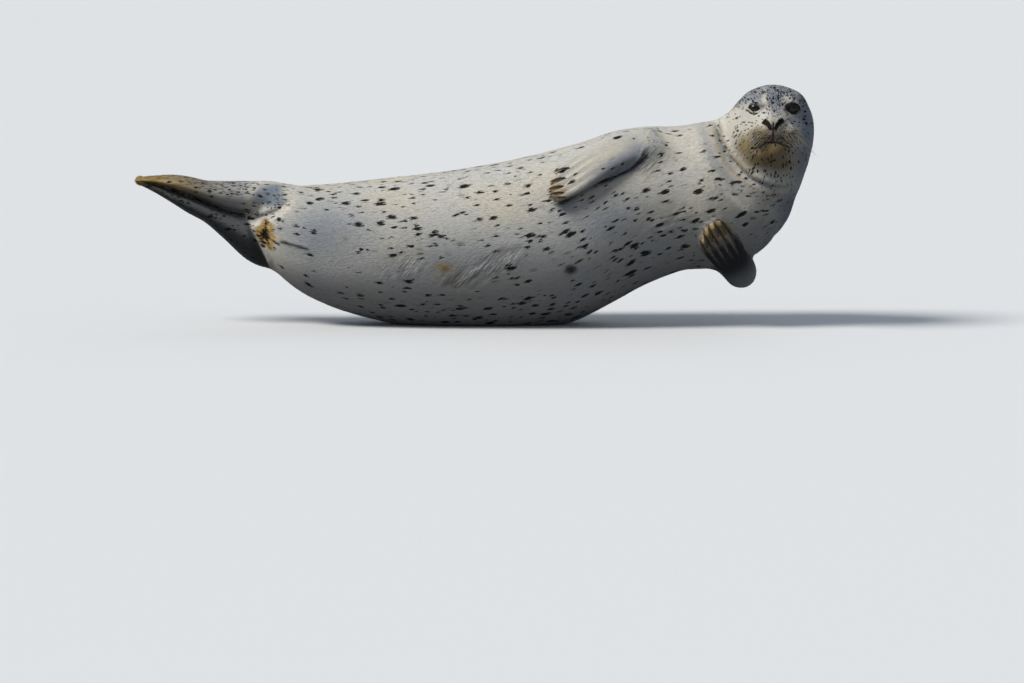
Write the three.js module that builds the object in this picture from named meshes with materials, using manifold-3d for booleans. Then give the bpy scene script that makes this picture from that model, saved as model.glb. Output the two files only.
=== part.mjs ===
// A harbor seal, life size, in millimetres: it lies on its left side with its belly to -Y,
// its back to +Y and its right side up, and turns its head to face -Y.
// X runs from the hind flippers to the head, and +Z is up.
import * as THREE from "three";
import { mergeVertices } from "three/addons/utils/BufferGeometryUtils.js";
import Module from "manifold-3d";

const wasm = await Module();
wasm.setup();

// ---- Driving sizes ----

const gap = 0.35; // clearance between two parts that meet
const farAway = 4000; // side of the blocks that cut the body into lengths
const searchReach = 400; // the farthest that the surface is looked for from inside the body
const floor = { point: [0, 0, 0], normal: [0, 0, 1] };

// Trunk: the place of each girth along X, its top, its bottom and its half depth in Y.
// The flank sags a little below the floor and is cut flat there.
const girths = [
  { at: -530, top: 262, bottom: 200, halfDepth: 22 },
  { at: -450, top: 321, bottom: 104, halfDepth: 96 },
  { at: -410, top: 326.5, bottom: 73.5, halfDepth: 116 },
  { at: -350, top: 330.5, bottom: 43, halfDepth: 133 },
  { at: -220, top: 344, bottom: 6, halfDepth: 157 },
  { at: -50, top: 364, bottom: -10, halfDepth: 170 },
  { at: 100, top: 391, bottom: -11, halfDepth: 174 },
  { at: 250, top: 430, bottom: 12, halfDepth: 171 },
  { at: 330, top: 456, bottom: 53, halfDepth: 167 },
  { at: 390, top: 465, bottom: 86, halfDepth: 162 },
  { at: 480, top: 468, bottom: 122, halfDepth: 154 },
  { at: 575, top: 486, bottom: 146, halfDepth: 138 },
  { at: 640, top: 505, bottom: 180, halfDepth: 110 },
];
const rump = { end: -535, blend: 30 };
const shoulder = { end: 600, blend: 80 };
const chestBall = { centre: [588, 0, 290], radii: [140, 150, 148], blend: 60 };
const nape = { from: [600, 0, 320], to: [655, -5, 385], fromRadius: 138, toRadius: 110 };
const neckRoll = { centre: [680, -30, 432], radii: [106, 104, 112], blend: 40 };
const throat = { from: [648, -60, 300], to: [690, -85, 400], fromRadius: 86, toRadius: 74, blend: 50 };
const pelvisLine = -360; // where the pelvis meets the abdomen
const ribLine = 120; // where the abdomen meets the thorax

// Head: its own frame has x forward, y to the seal's left and z up.
const headCentre = new THREE.Vector3(694, -90, 480.5);
const nosePitch = THREE.MathUtils.degToRad(12);
const eyeRadius = 19;
const eyePlace = { forward: 47, aside: 41.5, up: 24.5 };

const headBlend = 30; // how softly the head runs into the neck
// The crease behind the jaw is sharp on the seal's right, and fades over its nape and throat
// and, in part, towards the top.
const crease = {
  sharp: 12,
  faded: 60,
  throatFrom: 700,
  throatWide: 60,
  napeWide: 100,
  topFrom: 445,
  topTall: 30,
  topShare: 0.48,
};

// Planes that part the neck from the thorax and the head from the neck.
const neckBase = { point: [545, 0, 470], normal: [0.8, 0, 0.6] };
const headBase = { point: [694, -165, 375], normal: [0.35, -0.45, 0.82] };

// Flippers: mid, halfWidth and halfThick are taken at distances from the root.
const digits = 5;
const foreRight = {
  root: [425, -82, 428],
  tip: [163, -160, 322],
  outwardAtRoot: [0, -0.66, 0.75],
  outwardAtTip: [0, -0.86, 0.51],
  bow: 20,
  sections: [
    { at: 0, mid: 8, halfWidth: 36, halfThick: 26 },
    { at: 60, mid: 10, halfWidth: 45, halfThick: 26.5 },
    { at: 120, mid: 10, halfWidth: 47, halfThick: 23.5 },
    { at: 170, mid: 6, halfWidth: 46.5, halfThick: 18.5 },
    { at: 210, mid: 3, halfWidth: 45.5, halfThick: 14 },
    { at: 250, mid: 0, halfWidth: 41, halfThick: 10.5 },
    { at: 290, mid: -1, halfWidth: 35, halfThick: 7 },
  ],
  reach: { length: 289, longestDigit: -0.2, slant: 30 },
};
const foreLeft = {
  root: [622, -72, 122],
  tip: [536, -162, 246],
  outwardAtRoot: [0.1, -0.75, -0.5],
  outwardAtTip: [0.1, -0.75, -0.5],
  bow: 6,
  sections: [
    { at: 0, mid: 3, halfWidth: 32, halfThick: 30 },
    { at: 40, mid: 3, halfWidth: 38, halfThick: 26 },
    { at: 80, mid: 3, halfWidth: 44, halfThick: 19 },
    { at: 120, mid: 3, halfWidth: 46, halfThick: 13.5 },
    { at: 170, mid: 3, halfWidth: 43, halfThick: 8 },
  ],
  reach: { length: 172, longestDigit: 0.4, slant: 20 },
};
const foreLeftArm = { from: [590, -20, 175], to: [622, -72, 126], fromRadius: 55, toRadius: 36 };

// Hind flippers: pressed sole to sole, each one a fan seen on edge. Each section gives its
// place along X, the height of its middle and half its height; both share the fan's depth.
const hindMiddle = 12; // Y of the middle of the fan
const hindStart = -420;
const hindEnd = -795;
const hindFingers = { from: -560, fade: 120 }; // where the digits begin to show
const hindGrooves = 0.16; // how much thinner the web is than its digits
const foreGrooves = 0.22;
const webNotch = 7; // how far the web draws in between two digits
const hindFan = [
  { at: -795, halfDepth: 36 },
  { at: -748, halfDepth: 50 },
  { at: -710, halfDepth: 58 },
  { at: -650, halfDepth: 62 },
  { at: -530, halfDepth: 58 },
  { at: -400, halfDepth: 60 },
];
const hindRight = [
  { at: -795, height: 340, halfHeight: 4 },
  { at: -748, height: 338.5, halfHeight: 10 },
  { at: -710, height: 333.5, halfHeight: 17.5 },
  { at: -672, height: 324.5, halfHeight: 22.2 },
  { at: -633, height: 313, halfHeight: 25 },
  { at: -595, height: 304.5, halfHeight: 32 },
  { at: -530, height: 298, halfHeight: 37.8 },
  { at: -465, height: 291, halfHeight: 42.5 },
  { at: -400, height: 270, halfHeight: 40 },
];
const hindLeft = [
  { at: -795, height: 335, halfHeight: 4 },
  { at: -748, height: 318, halfHeight: 12.5 },
  { at: -710, height: 299, halfHeight: 17.2 },
  { at: -672, height: 280.5, halfHeight: 23 },
  { at: -633, height: 261.5, halfHeight: 26 },
  { at: -595, height: 237.5, halfHeight: 35.5 },
  { at: -530, height: 202, halfHeight: 57.6 },
  { at: -460, height: 190, halfHeight: 66 },
  { at: -400, height: 190, halfHeight: 66 },
];
const tailSize = { from: [-440, 55, 235], to: [-560, 80, 245], halfWidth: 30, halfThick: 16 };

const foreClaw = { behind: 22, beyond: 13, radius: 3.6 };
const hindClaw = { behind: 12, beyond: 6, radius: 2.4 };

// How finely each surface is divided, as [around, along].
const divisions = {
  torso: [30, 32],
  head: [30, 36],
  neck: [26, 16],
  flipper: [20, 12],
  tail: [12, 8],
  arm: [10, 7],
  eye: [14, 10],
  claw: [5, 5],
};

const colours = {
  coat: 0xd3cfc4,
  flank: 0xc9c6bd,
  ochreFur: 0xa8905c,
  eye: 0x120e0c,
  claw: 0x2b1c12,
};

// ---- Forms: each is a function of a point, negative inside, about the distance in mm ----

const { clamp, lerp } = THREE.MathUtils;

function smoothMin(a, b, blend) {
  const share = clamp(0.5 + (0.5 * (b - a)) / blend, 0, 1);
  return lerp(b, a, share) - blend * share * (1 - share);
}

function smoothMax(a, b, blend) {
  return -smoothMin(-a, -b, blend);
}

// Turns how far out a point is, in radii, into about how far it is in millimetres.
function roundness(parts, radii) {
  const near = Math.hypot(...parts);
  const slope = Math.hypot(...parts.map((part, i) => part / radii[i]));
  return (near * (near - 1)) / Math.max(slope, 1e-9);
}

function ellipsoid(p, centre, radii) {
  const parts = radii.map((radius, i) => (p[i] - centre[i]) / radius);
  return roundness(parts, radii);
}

function limb(p, { from, to, fromRadius, toRadius }) {
  const axis = to.map((value, i) => value - from[i]);
  const out = p.map((value, i) => value - from[i]);
  const lengthSquared = axis.reduce((sum, value) => sum + value * value, 0);
  const along = axis.reduce((sum, value, i) => sum + value * out[i], 0);
  const share = clamp(along / lengthSquared, 0, 1);
  const away = Math.hypot(...out.map((value, i) => value - share * axis[i]));
  return away - lerp(fromRadius, toRadius, share);
}

// A smooth curve through the named value of each section, held level past both ends.
function curveThrough(sections, key) {
  const xs = sections.map((section) => section.at);
  const ys = sections.map((section) => section[key]);
  const last = xs.length - 1;
  const slopes = xs.map((_, i) => {
    if (i === 0) return (ys[1] - ys[0]) / (xs[1] - xs[0]);
    if (i === last) return (ys[last] - ys[last - 1]) / (xs[last] - xs[last - 1]);
    const before = xs[i] - xs[i - 1];
    const after = xs[i + 1] - xs[i];
    const rise = (before * (ys[i + 1] - ys[i])) / after + (after * (ys[i] - ys[i - 1])) / before;
    return rise / (before + after);
  });
  return (x) => {
    const held = clamp(x, xs[0], xs[last]);
    const i = clamp(xs.findIndex((value) => value > held) - 1, 0, last - 1);
    const start = held === xs[last] ? last - 1 : i;
    const width = xs[start + 1] - xs[start];
    const t = (held - xs[start]) / width;
    const level = (1 - t) ** 2 * (1 + 2 * t) * ys[start] + t * t * (3 - 2 * t) * ys[start + 1];
    const bend = t * (1 - t) ** 2 * slopes[start] - t * t * (1 - t) * slopes[start + 1];
    return level + width * bend;
  };
}

const topAt = curveThrough(girths, "top");
const bottomAt = curveThrough(girths, "bottom");
const halfDepthAt = curveThrough(girths, "halfDepth");

function trunk(p) {
  const [x, y, z] = p;
  const middle = (topAt(x) + bottomAt(x)) / 2;
  const halfHeight = (topAt(x) - bottomAt(x)) / 2;
  const halfDepth = halfDepthAt(x);
  const round = roundness([y / halfDepth, (z - middle) / halfHeight], [halfDepth, halfHeight]);
  return smoothMax(smoothMax(round, x - shoulder.end, shoulder.blend), rump.end - x, rump.blend);
}

function neck(p) {
  const roll = ellipsoid(p, neckRoll.centre, neckRoll.radii);
  const upper = smoothMin(limb(p, nape), roll, neckRoll.blend);
  return smoothMin(upper, limb(p, throat), throat.blend);
}

const headForward = new THREE.Vector3(0, -Math.cos(nosePitch), Math.sin(nosePitch));
const headLeft = new THREE.Vector3(1, 0, 0);
const headUp = new THREE.Vector3().crossVectors(headForward, headLeft);

function inHead(p) {
  const out = new THREE.Vector3(...p).sub(headCentre);
  return [out.dot(headForward), out.dot(headLeft), out.dot(headUp)];
}

function fromHead(forward, left, up) {
  return headCentre
    .clone()
    .addScaledVector(headForward, forward)
    .addScaledVector(headLeft, left)
    .addScaledVector(headUp, up);
}

function head(p) {
  const q = inHead(p);
  const side = [q[0], Math.abs(q[1]), q[2]]; // both sides of the head at once
  const cranium = ellipsoid(q, [-22, 0, 13], [86, 87, 79]);
  const temples = ellipsoid(side, [-12, 42, -18], [62, 50, 62]);
  const snout = limb(q, { from: [18, 0, 2], to: [86, 0, -30], fromRadius: 60, toRadius: 36 });
  const whiskerPads = ellipsoid(side, [83, 28, -43], [33, 30, 28]);
  const nose = ellipsoid(q, [103, 0, -19], [18, 22, 17]);
  const jaw = limb(q, { from: [-10, 0, -54], to: [68, 0, -70], fromRadius: 58, toRadius: 33 });
  const chin = ellipsoid(q, [66, 0, -74], [36, 36, 28]);
  const cheeks = ellipsoid(side, [18, 46, -46], [50, 40, 44]);
  const brows = ellipsoid(side, [18, 40, 44], [32, 30, 24]);
  let form = smoothMin(cranium, temples, 30);
  form = smoothMin(form, snout, 22);
  form = smoothMin(form, whiskerPads, 10);
  form = smoothMin(form, nose, 12);
  form = smoothMin(form, jaw, 14);
  form = smoothMin(form, chin, 12);
  form = smoothMin(form, cheeks, 22);
  return smoothMin(form, brows, 25);
}

function body(p) {
  const chest = ellipsoid(p, chestBall.centre, chestBall.radii);
  const torso = smoothMin(trunk(p), chest, chestBall.blend);
  const front = smoothMin(head(p), neck(p), headBlend);
  const throatward = clamp((p[0] - crease.throatFrom) / crease.throatWide, 0, 1);
  const napeward = clamp(p[1] / crease.napeWide, 0, 1);
  const upward = crease.topShare * clamp((p[2] - crease.topFrom) / crease.topTall, 0, 1);
  const fade = Math.max(throatward, napeward, upward);
  return smoothMin(torso, front, crease.sharp + crease.faded * fade);
}

// ---- Surfaces: a ball whose points are moved to their places ----

function exitFrom(form, start, direction) {
  const at = (distance) => start.map((value, i) => value + distance * direction[i]);
  let inside = 0;
  let outside = 0;
  while (outside < searchReach && form(at(outside)) <= 0) {
    inside = outside;
    outside += Math.max(2, -0.6 * form(at(outside)));
  }
  for (let step = 0; step < 12; step += 1) {
    const middle = (inside + outside) / 2;
    if (form(at(middle)) <= 0) inside = middle;
    else outside = middle;
  }
  return at(outside);
}

const atPole = (t) => t < 1e-6 || t > 1 - 1e-6;

// place(t, angle) gives the point at share t from the first pole to the second.
function closedSurface(place, [around, along]) {
  const ball = new THREE.SphereGeometry(1, around, along);
  ball.deleteAttribute("normal");
  ball.deleteAttribute("uv");
  const geometry = mergeVertices(ball);
  const points = geometry.attributes.position;
  for (let i = 0; i < points.count; i += 1) {
    const t = Math.acos(clamp(points.getY(i), -1, 1)) / Math.PI;
    const angle = Math.atan2(points.getZ(i), points.getX(i));
    points.setXYZ(i, ...place(t, angle));
  }
  return geometry;
}

function solidFrom(geometry) {
  const vertProperties = new Float32Array(geometry.attributes.position.array);
  const triVerts = new Uint32Array(geometry.index.array);
  const solid = new wasm.Manifold(new wasm.Mesh({ numProp: 3, vertProperties, triVerts }));
  if (solid.volume() > 0) return solid;
  for (let i = 0; i < triVerts.length; i += 3) {
    [triVerts[i], triVerts[i + 1]] = [triVerts[i + 1], triVerts[i]];
  }
  return new wasm.Manifold(new wasm.Mesh({ numProp: 3, vertProperties, triVerts }));
}

function torsoSolid(clearance) {
  const form = (p) => body(p) - clearance;
  const middleAt = (x) => (topAt(x) + bottomAt(x)) / 2;
  const onAxis = (x) => [x, 0, middleAt(x)];
  const front = exitFrom(form, onAxis(girths.at(-1).at), [1, 0, 0]);
  const rear = exitFrom(form, onAxis(girths[1].at), [-1, 0, 0]);
  const place = (t, angle) => {
    if (atPole(t)) return t < 0.5 ? front : rear;
    const crowded = (1 - Math.cos(Math.PI * t)) / 2; // rings closer together at both ends
    const x = lerp(front[0], rear[0], lerp(t, crowded, 0.45));
    return exitFrom(form, onAxis(x), [0, Math.cos(angle), Math.sin(angle)]);
  };
  return solidFrom(closedSurface(place, divisions.torso));
}

// A surface seen from one point inside it, with its points crowded towards one way.
function ballSolid(start, forward, left, up, crowding, division) {
  const place = (t, angle) => {
    const turn = Math.PI * t ** crowding;
    const direction = new THREE.Vector3()
      .addScaledVector(forward, Math.cos(turn))
      .addScaledVector(left, Math.sin(turn) * Math.cos(angle))
      .addScaledVector(up, Math.sin(turn) * Math.sin(angle));
    return exitFrom(body, start.toArray(), direction.toArray());
  };
  return solidFrom(closedSurface(place, division));
}

function halfSpace({ point, normal }, clearance) {
  const way = new THREE.Vector3(...normal).normalize();
  const block = new THREE.BoxGeometry(farAway, farAway, farAway);
  block.deleteAttribute("normal");
  block.deleteAttribute("uv");
  const merged = mergeVertices(block);
  merged.translate(0, 0, farAway / 2 + clearance);
  merged.applyQuaternion(new THREE.Quaternion().setFromUnitVectors(new THREE.Vector3(0, 0, 1), way));
  merged.translate(...point);
  return solidFrom(merged);
}

const beyond = (plane) => halfSpace(plane, gap / 2);
const before = ({ point, normal }) => {
  return halfSpace({ point, normal: normal.map((value) => -value) }, gap / 2);
};
const aboveFloor = halfSpace(floor, 0);
const largest = (solid) => solid.decompose().sort((a, b) => b.volume() - a.volume())[0];

// ---- Flippers ----

// 1 between two digits and 0 on each digit, for u from -1 to 1 across the flipper.
const webbing = (u) => 0.5 + 0.5 * Math.cos(Math.PI * digits * (u + 1));

function flipperShape(flipper) {
  const root = new THREE.Vector3(...flipper.root);
  const along = new THREE.Vector3(...flipper.tip).sub(root);
  const length = along.length();
  along.normalize();
  const rootOutward = new THREE.Vector3(...flipper.outwardAtRoot);
  const tipOutward = new THREE.Vector3(...flipper.outwardAtTip);
  const midAt = curveThrough(flipper.sections, "mid");
  const halfWidthAt = curveThrough(flipper.sections, "halfWidth");
  const halfThickAt = curveThrough(flipper.sections, "halfThick");
  const { reach } = flipper;
  const endAt = (u) => reach.length - reach.slant * (u - reach.longestDigit) ** 2;
  // u is the place across in half widths, rise the height in half thicknesses
  const point = (s, u, rise) => {
    const grooves = foreGrooves * clamp((s / length - 0.5) / 0.3, 0, 1) * webbing(u);
    const bow = flipper.bow * Math.sin(Math.PI * clamp(s / length, 0, 1));
    const outward = rootOutward.clone().lerp(tipOutward, clamp(s / length, 0, 1));
    outward.addScaledVector(along, -outward.dot(along)).normalize();
    const across = new THREE.Vector3().crossVectors(along, outward);
    return root
      .clone()
      .addScaledVector(along, s)
      .addScaledVector(across, midAt(s) + halfWidthAt(s) * u)
      .addScaledVector(outward, bow + halfThickAt(s) * (1 - grooves) * rise);
  };
  return { point, endAt };
}

// Crowds a flipper's rings towards its tip.
const towardsTip = (t) => 1 - (1 - t) ** 1.8;
const acrossAt = (t, angle) => (atPole(t) ? 0 : Math.cos(angle));
const flipperEnd = 0.15; // the share of a flipper's length over which its end thins out

// Rounds a limb's ends: 0 at both ends of t, 1 between.
function roundedEnds(t, share) {
  const in1 = clamp(t / share, 0, 1);
  const in2 = clamp((1 - t) / share, 0, 1);
  return Math.sqrt(1 - (1 - in1) ** 2) * Math.sqrt(1 - (1 - in2) ** 2);
}

function flipperSolid(flipper) {
  const { point, endAt } = flipperShape(flipper);
  const place = (t, angle) => {
    const u = acrossAt(t, angle);
    const s = towardsTip(t) * (endAt(u) - webNotch * webbing(u) * t ** 4);
    return point(s, u, Math.sin(angle) * roundedEnds(t, flipperEnd)).toArray();
  };
  return solidFrom(closedSurface(place, divisions.flipper));
}

const fanAt = curveThrough(hindFan, "halfDepth");

function hindShape(sections) {
  const heightAt = curveThrough(sections, "height");
  const halfHeightAt = curveThrough(sections, "halfHeight");
  const endAt = () => hindEnd;
  const point = (x, u, rise) => {
    const grooves = hindGrooves * clamp((hindFingers.from - x) / hindFingers.fade, 0, 1) * webbing(u);
    const height = heightAt(x) + halfHeightAt(x) * (1 - grooves) * rise;
    return new THREE.Vector3(x, hindMiddle + fanAt(x) * u, height);
  };
  return { point, endAt };
}

function hindSolid(sections, clearance) {
  const { point, endAt } = hindShape(sections);
  const place = (t, angle) => {
    const u = acrossAt(t, angle);
    const end = endAt(u) + webNotch * webbing(u) * t ** 4 - clearance;
    const rise = Math.sin(angle) * roundedEnds(t, flipperEnd);
    const placed = point(lerp(hindStart, end, towardsTip(t)), u, rise);
    placed.y += clearance * Math.cos(angle);
    placed.z += clearance * Math.sin(angle);
    return placed.toArray();
  };
  return solidFrom(closedSurface(place, divisions.flipper));
}

function taperedSolid(from, to, halfWidth, halfThick, across, up, division) {
  const place = (t, angle) => {
    const swell = roundedEnds(t, 0.35) * lerp(1, 0.6, t);
    return new THREE.Vector3(...from)
      .lerp(new THREE.Vector3(...to), t)
      .addScaledVector(across, halfWidth * swell * Math.cos(angle))
      .addScaledVector(up, halfThick * swell * Math.sin(angle))
      .toArray();
  };
  return solidFrom(closedSurface(place, division));
}

function armSolid(arm) {
  const start = new THREE.Vector3(...arm.from).lerp(new THREE.Vector3(...arm.to), 0.5).toArray();
  const place = (t, angle) => {
    const turn = Math.PI * t;
    const direction = [
      Math.cos(turn),
      Math.sin(turn) * Math.cos(angle),
      Math.sin(turn) * Math.sin(angle),
    ];
    return exitFrom((p) => limb(p, arm), start, direction);
  };
  return solidFrom(closedSurface(place, divisions.arm));
}

// A claw lies on the back of its digit and curves down past its end.
function clawSolid(root, over, tip, radius) {
  const spine = new THREE.QuadraticBezierCurve3(root, over, tip);
  const along = tip.clone().sub(root).normalize();
  const across = new THREE.Vector3().crossVectors(along, over.clone().sub(root)).normalize();
  const place = (t, angle) => {
    const swell = radius * roundedEnds(t, 0.3) * lerp(1, 0.45, t);
    const up = new THREE.Vector3().crossVectors(across, spine.getTangent(t));
    return spine
      .getPoint(t)
      .addScaledVector(across, swell * Math.cos(angle))
      .addScaledVector(up, swell * Math.sin(angle))
      .toArray();
  };
  return solidFrom(closedSurface(place, divisions.claw));
}

function clawsOn({ point, endAt }, size, lift, direction, clearance) {
  return Array.from({ length: digits }, (_, i) => {
    const u = ((i + 0.5) / digits) * 2 - 1;
    const edge = Math.sqrt(1 - u * u);
    const root = point(endAt(u) - direction * size.behind, u, lift * edge * 0.8);
    const over = point(endAt(u) - direction * size.behind * 0.2, u, lift * (edge + 0.55));
    const tip = point(endAt(u) + direction * size.beyond, u, lift * edge * 0.5);
    return clawSolid(root, over, tip, size.radius + clearance);
  });
}

// ---- Sub-parts ----

const torso = torsoSolid(0).intersect(aboveFloor);
const torsoRoom = torsoSolid(gap); // the torso with room round it
const pelvisEnd = { point: [pelvisLine, 0, 0], normal: [1, 0, 0] };
const abdomenEnd = { point: [ribLine, 0, 0], normal: [1, 0, 0] };

const eyeCentres = {
  eye_right: fromHead(eyePlace.forward, -eyePlace.aside, eyePlace.up),
  eye_left: fromHead(eyePlace.forward, eyePlace.aside, eyePlace.up),
};

function eyeball(centre, radius) {
  const [around, along] = divisions.eye;
  const ball = new THREE.SphereGeometry(radius, around, along);
  ball.deleteAttribute("normal");
  ball.deleteAttribute("uv");
  return solidFrom(mergeVertices(ball).translate(...centre.toArray()));
}

function headSolid() {
  const start = fromHead(-10, 0, -5);
  let solid = ballSolid(start, headForward, headLeft, headUp, 1.2, divisions.head);
  solid = solid.intersect(beyond(headBase)).intersect(beyond(neckBase));
  for (const centre of Object.values(eyeCentres)) {
    solid = solid.subtract(eyeball(centre, eyeRadius + gap));
  }
  return largest(solid);
}

function neckSolid() {
  const start = new THREE.Vector3(662, -15, 388);
  const forward = new THREE.Vector3(...neckBase.normal);
  const left = new THREE.Vector3(0, 1, 0);
  const up = new THREE.Vector3().crossVectors(forward, left);
  const solid = ballSolid(start, forward, left, up, 1, divisions.neck);
  return largest(solid.intersect(before(headBase)).intersect(beyond(neckBase)));
}

const flippers = {
  fore_right: { shape: flipperShape(foreRight), claw: foreClaw, lift: 1, way: 1 },
  fore_left: { shape: flipperShape(foreLeft), claw: foreClaw, lift: 1, way: 1 },
  hind_right: { shape: hindShape(hindRight), claw: hindClaw, lift: 1, way: -1 },
  hind_left: { shape: hindShape(hindLeft), claw: hindClaw, lift: -1, way: -1 },
};

const flipperSolids = {
  fore_right: flipperSolid(foreRight),
  fore_left: flipperSolid(foreLeft).add(armSolid(foreLeftArm)),
  hind_right: hindSolid(hindRight, 0),
  hind_left: hindSolid(hindLeft, 0).subtract(hindSolid(hindRight, gap)),
};

const solids = {
  pelvis: torso.intersect(before(pelvisEnd)),
  abdomen: torso.intersect(beyond(pelvisEnd)).intersect(before(abdomenEnd)),
  thorax: torso.intersect(beyond(abdomenEnd)).intersect(before(neckBase)),
  neck: neckSolid(),
  head: headSolid(),
};

for (const [name, solid] of Object.entries(flipperSolids)) {
  const { shape, claw, lift, way } = flippers[name];
  let cut = solid.subtract(torsoRoom);
  for (const room of clawsOn(shape, claw, lift, way, gap)) cut = cut.subtract(room);
  const [where, side] = name.split("_");
  solids[`${where}_flipper_${side}`] = largest(cut);
  clawsOn(shape, claw, lift, way, 0).forEach((nail, i) => {
    solids[`claw_${name}_${i + 1}`] = nail;
  });
}

const tailUp = new THREE.Vector3(0, 0, 1);
const tailAlong = new THREE.Vector3(...tailSize.to).sub(new THREE.Vector3(...tailSize.from)).normalize();
const tailAcross = new THREE.Vector3().crossVectors(tailUp, tailAlong).normalize();
const { from, to, halfWidth, halfThick } = tailSize;
const wholeTail = taperedSolid(from, to, halfWidth, halfThick, tailAcross, tailUp, divisions.tail);
const besideTail = hindSolid(hindRight, gap).add(hindSolid(hindLeft, gap));
solids.tail = largest(wholeTail.subtract(torsoRoom).subtract(besideTail));

for (const [name, centre] of Object.entries(eyeCentres)) {
  solids[name] = eyeball(centre, eyeRadius);
}

// ---- The seal, resting on the middle of its own base ----

function finishOf(name) {
  if (name.startsWith("eye")) return { color: colours.eye, roughness: 0.08, metalness: 0 };
  if (name.startsWith("claw")) return { color: colours.claw, roughness: 0.45, metalness: 0 };
  if (name.startsWith("hind")) return { color: colours.ochreFur, roughness: 0.85, metalness: 0 };
  if (name.startsWith("fore")) return { color: colours.flank, roughness: 0.85, metalness: 0 };
  return { color: colours.coat, roughness: 0.8, metalness: 0 };
}

const seal = new THREE.Group();
for (const [name, solid] of Object.entries(solids)) {
  const { vertProperties, triVerts } = solid.getMesh();
  const geometry = new THREE.BufferGeometry();
  geometry.setAttribute("position", new THREE.BufferAttribute(vertProperties, 3));
  geometry.setIndex(new THREE.BufferAttribute(triVerts, 1));
  const mesh = new THREE.Mesh(geometry, new THREE.MeshStandardMaterial(finishOf(name)));
  mesh.name = name;
  seal.add(mesh);
}
const box = new THREE.Box3().setFromObject(seal, true);
const middle = box.getCenter(new THREE.Vector3());
seal.position.set(-middle.x, -middle.y, -box.min.z);

export default seal;
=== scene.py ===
import math
import time

import bpy
import numpy as np
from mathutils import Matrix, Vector


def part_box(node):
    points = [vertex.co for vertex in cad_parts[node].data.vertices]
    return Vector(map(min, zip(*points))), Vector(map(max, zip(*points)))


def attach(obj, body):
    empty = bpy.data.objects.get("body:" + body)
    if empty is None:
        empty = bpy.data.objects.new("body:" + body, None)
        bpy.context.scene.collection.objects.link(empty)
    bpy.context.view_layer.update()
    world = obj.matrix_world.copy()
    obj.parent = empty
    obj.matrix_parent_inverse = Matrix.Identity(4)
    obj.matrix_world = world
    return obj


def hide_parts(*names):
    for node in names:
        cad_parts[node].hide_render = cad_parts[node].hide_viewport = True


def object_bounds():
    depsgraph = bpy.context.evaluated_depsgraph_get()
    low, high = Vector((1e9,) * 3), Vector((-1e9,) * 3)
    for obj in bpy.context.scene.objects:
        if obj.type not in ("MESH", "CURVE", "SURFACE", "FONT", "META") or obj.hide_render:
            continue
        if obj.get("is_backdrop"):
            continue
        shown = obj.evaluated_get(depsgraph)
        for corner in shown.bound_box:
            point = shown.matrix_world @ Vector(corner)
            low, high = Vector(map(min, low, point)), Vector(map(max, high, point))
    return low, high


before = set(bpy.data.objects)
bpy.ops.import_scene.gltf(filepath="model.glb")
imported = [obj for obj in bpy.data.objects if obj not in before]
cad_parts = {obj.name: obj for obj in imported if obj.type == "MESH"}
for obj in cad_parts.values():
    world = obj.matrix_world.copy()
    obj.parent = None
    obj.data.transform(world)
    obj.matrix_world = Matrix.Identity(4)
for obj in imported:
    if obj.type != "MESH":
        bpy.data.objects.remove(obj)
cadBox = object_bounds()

started = time.time()


def report(words):
    print("seal: %s (%.0f s)" % (words, time.time() - started))


# The form is worked out in its own coordinates, in metres: the seal lies on its left side,
# belly to -Y, hind flippers at -X, head at +X turned to face -Y. Every mesh is then shifted
# into the row frame by the place of the left eye.

# Forms: each is a function of points, negative inside, and about the distance in metres.


def smoothMin(a, b, blend):
    share = np.clip(0.5 + 0.5 * (b - a) / blend, 0, 1)
    return b * (1 - share) + a * share - blend * share * (1 - share)


def smoothMax(a, b, blend):
    return -smoothMin(-a, -b, blend)


def smoothStep(low, high, x):
    t = np.clip((x - low) / (high - low), 0, 1)
    return t * t * (3 - 2 * t)


def ridge(distance, width):
    # 1 at no distance, and fading to nothing past the width
    return np.exp(-((distance / width) ** 2))


def ellipsoid(p, centre, radii):
    q = (p - np.array(centre)) / np.array(radii)
    near = np.linalg.norm(q, axis=1)
    slope = np.linalg.norm(q / np.array(radii), axis=1)
    return near * (near - 1) / np.maximum(slope, 1e-6)


def limb(p, start, end, startRadius, endRadius):
    start, end = np.array(start, float), np.array(end, float)
    axis = end - start
    out = p - start
    share = np.clip(out @ axis / (axis @ axis), 0, 1)
    away = np.linalg.norm(out - share[:, None] * axis, axis=1)
    return away - (startRadius + (endRadius - startRadius) * share)


def flatOval(across, over, halfWidth, halfThick):
    near = np.hypot(across / halfWidth, over / halfThick)
    slope = np.hypot(across / halfWidth**2, over / halfThick**2)
    return near * (near - 1) / np.maximum(slope, 1e-6)


def bluntOval(across, over, halfWidth, halfThick, power):
    # like an oval, but squarer at its edges
    u, v = np.abs(across / halfWidth), np.abs(over / halfThick)
    near = np.maximum((u**power + v**power) ** (1 / power), 1e-4)
    slope = np.hypot((u / near) ** (power - 1) / halfWidth, (v / near) ** (power - 1) / halfThick)
    return (near - 1) / np.maximum(slope, 1e-3)


def pathDistance(q, points, widths):
    near = np.full(len(q), 1.0)
    for a, b, wa, wb in zip(points[:-1], points[1:], widths[:-1], widths[1:]):
        near = np.minimum(near, limb(q, a, b, wa, wb))
    return near


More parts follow.
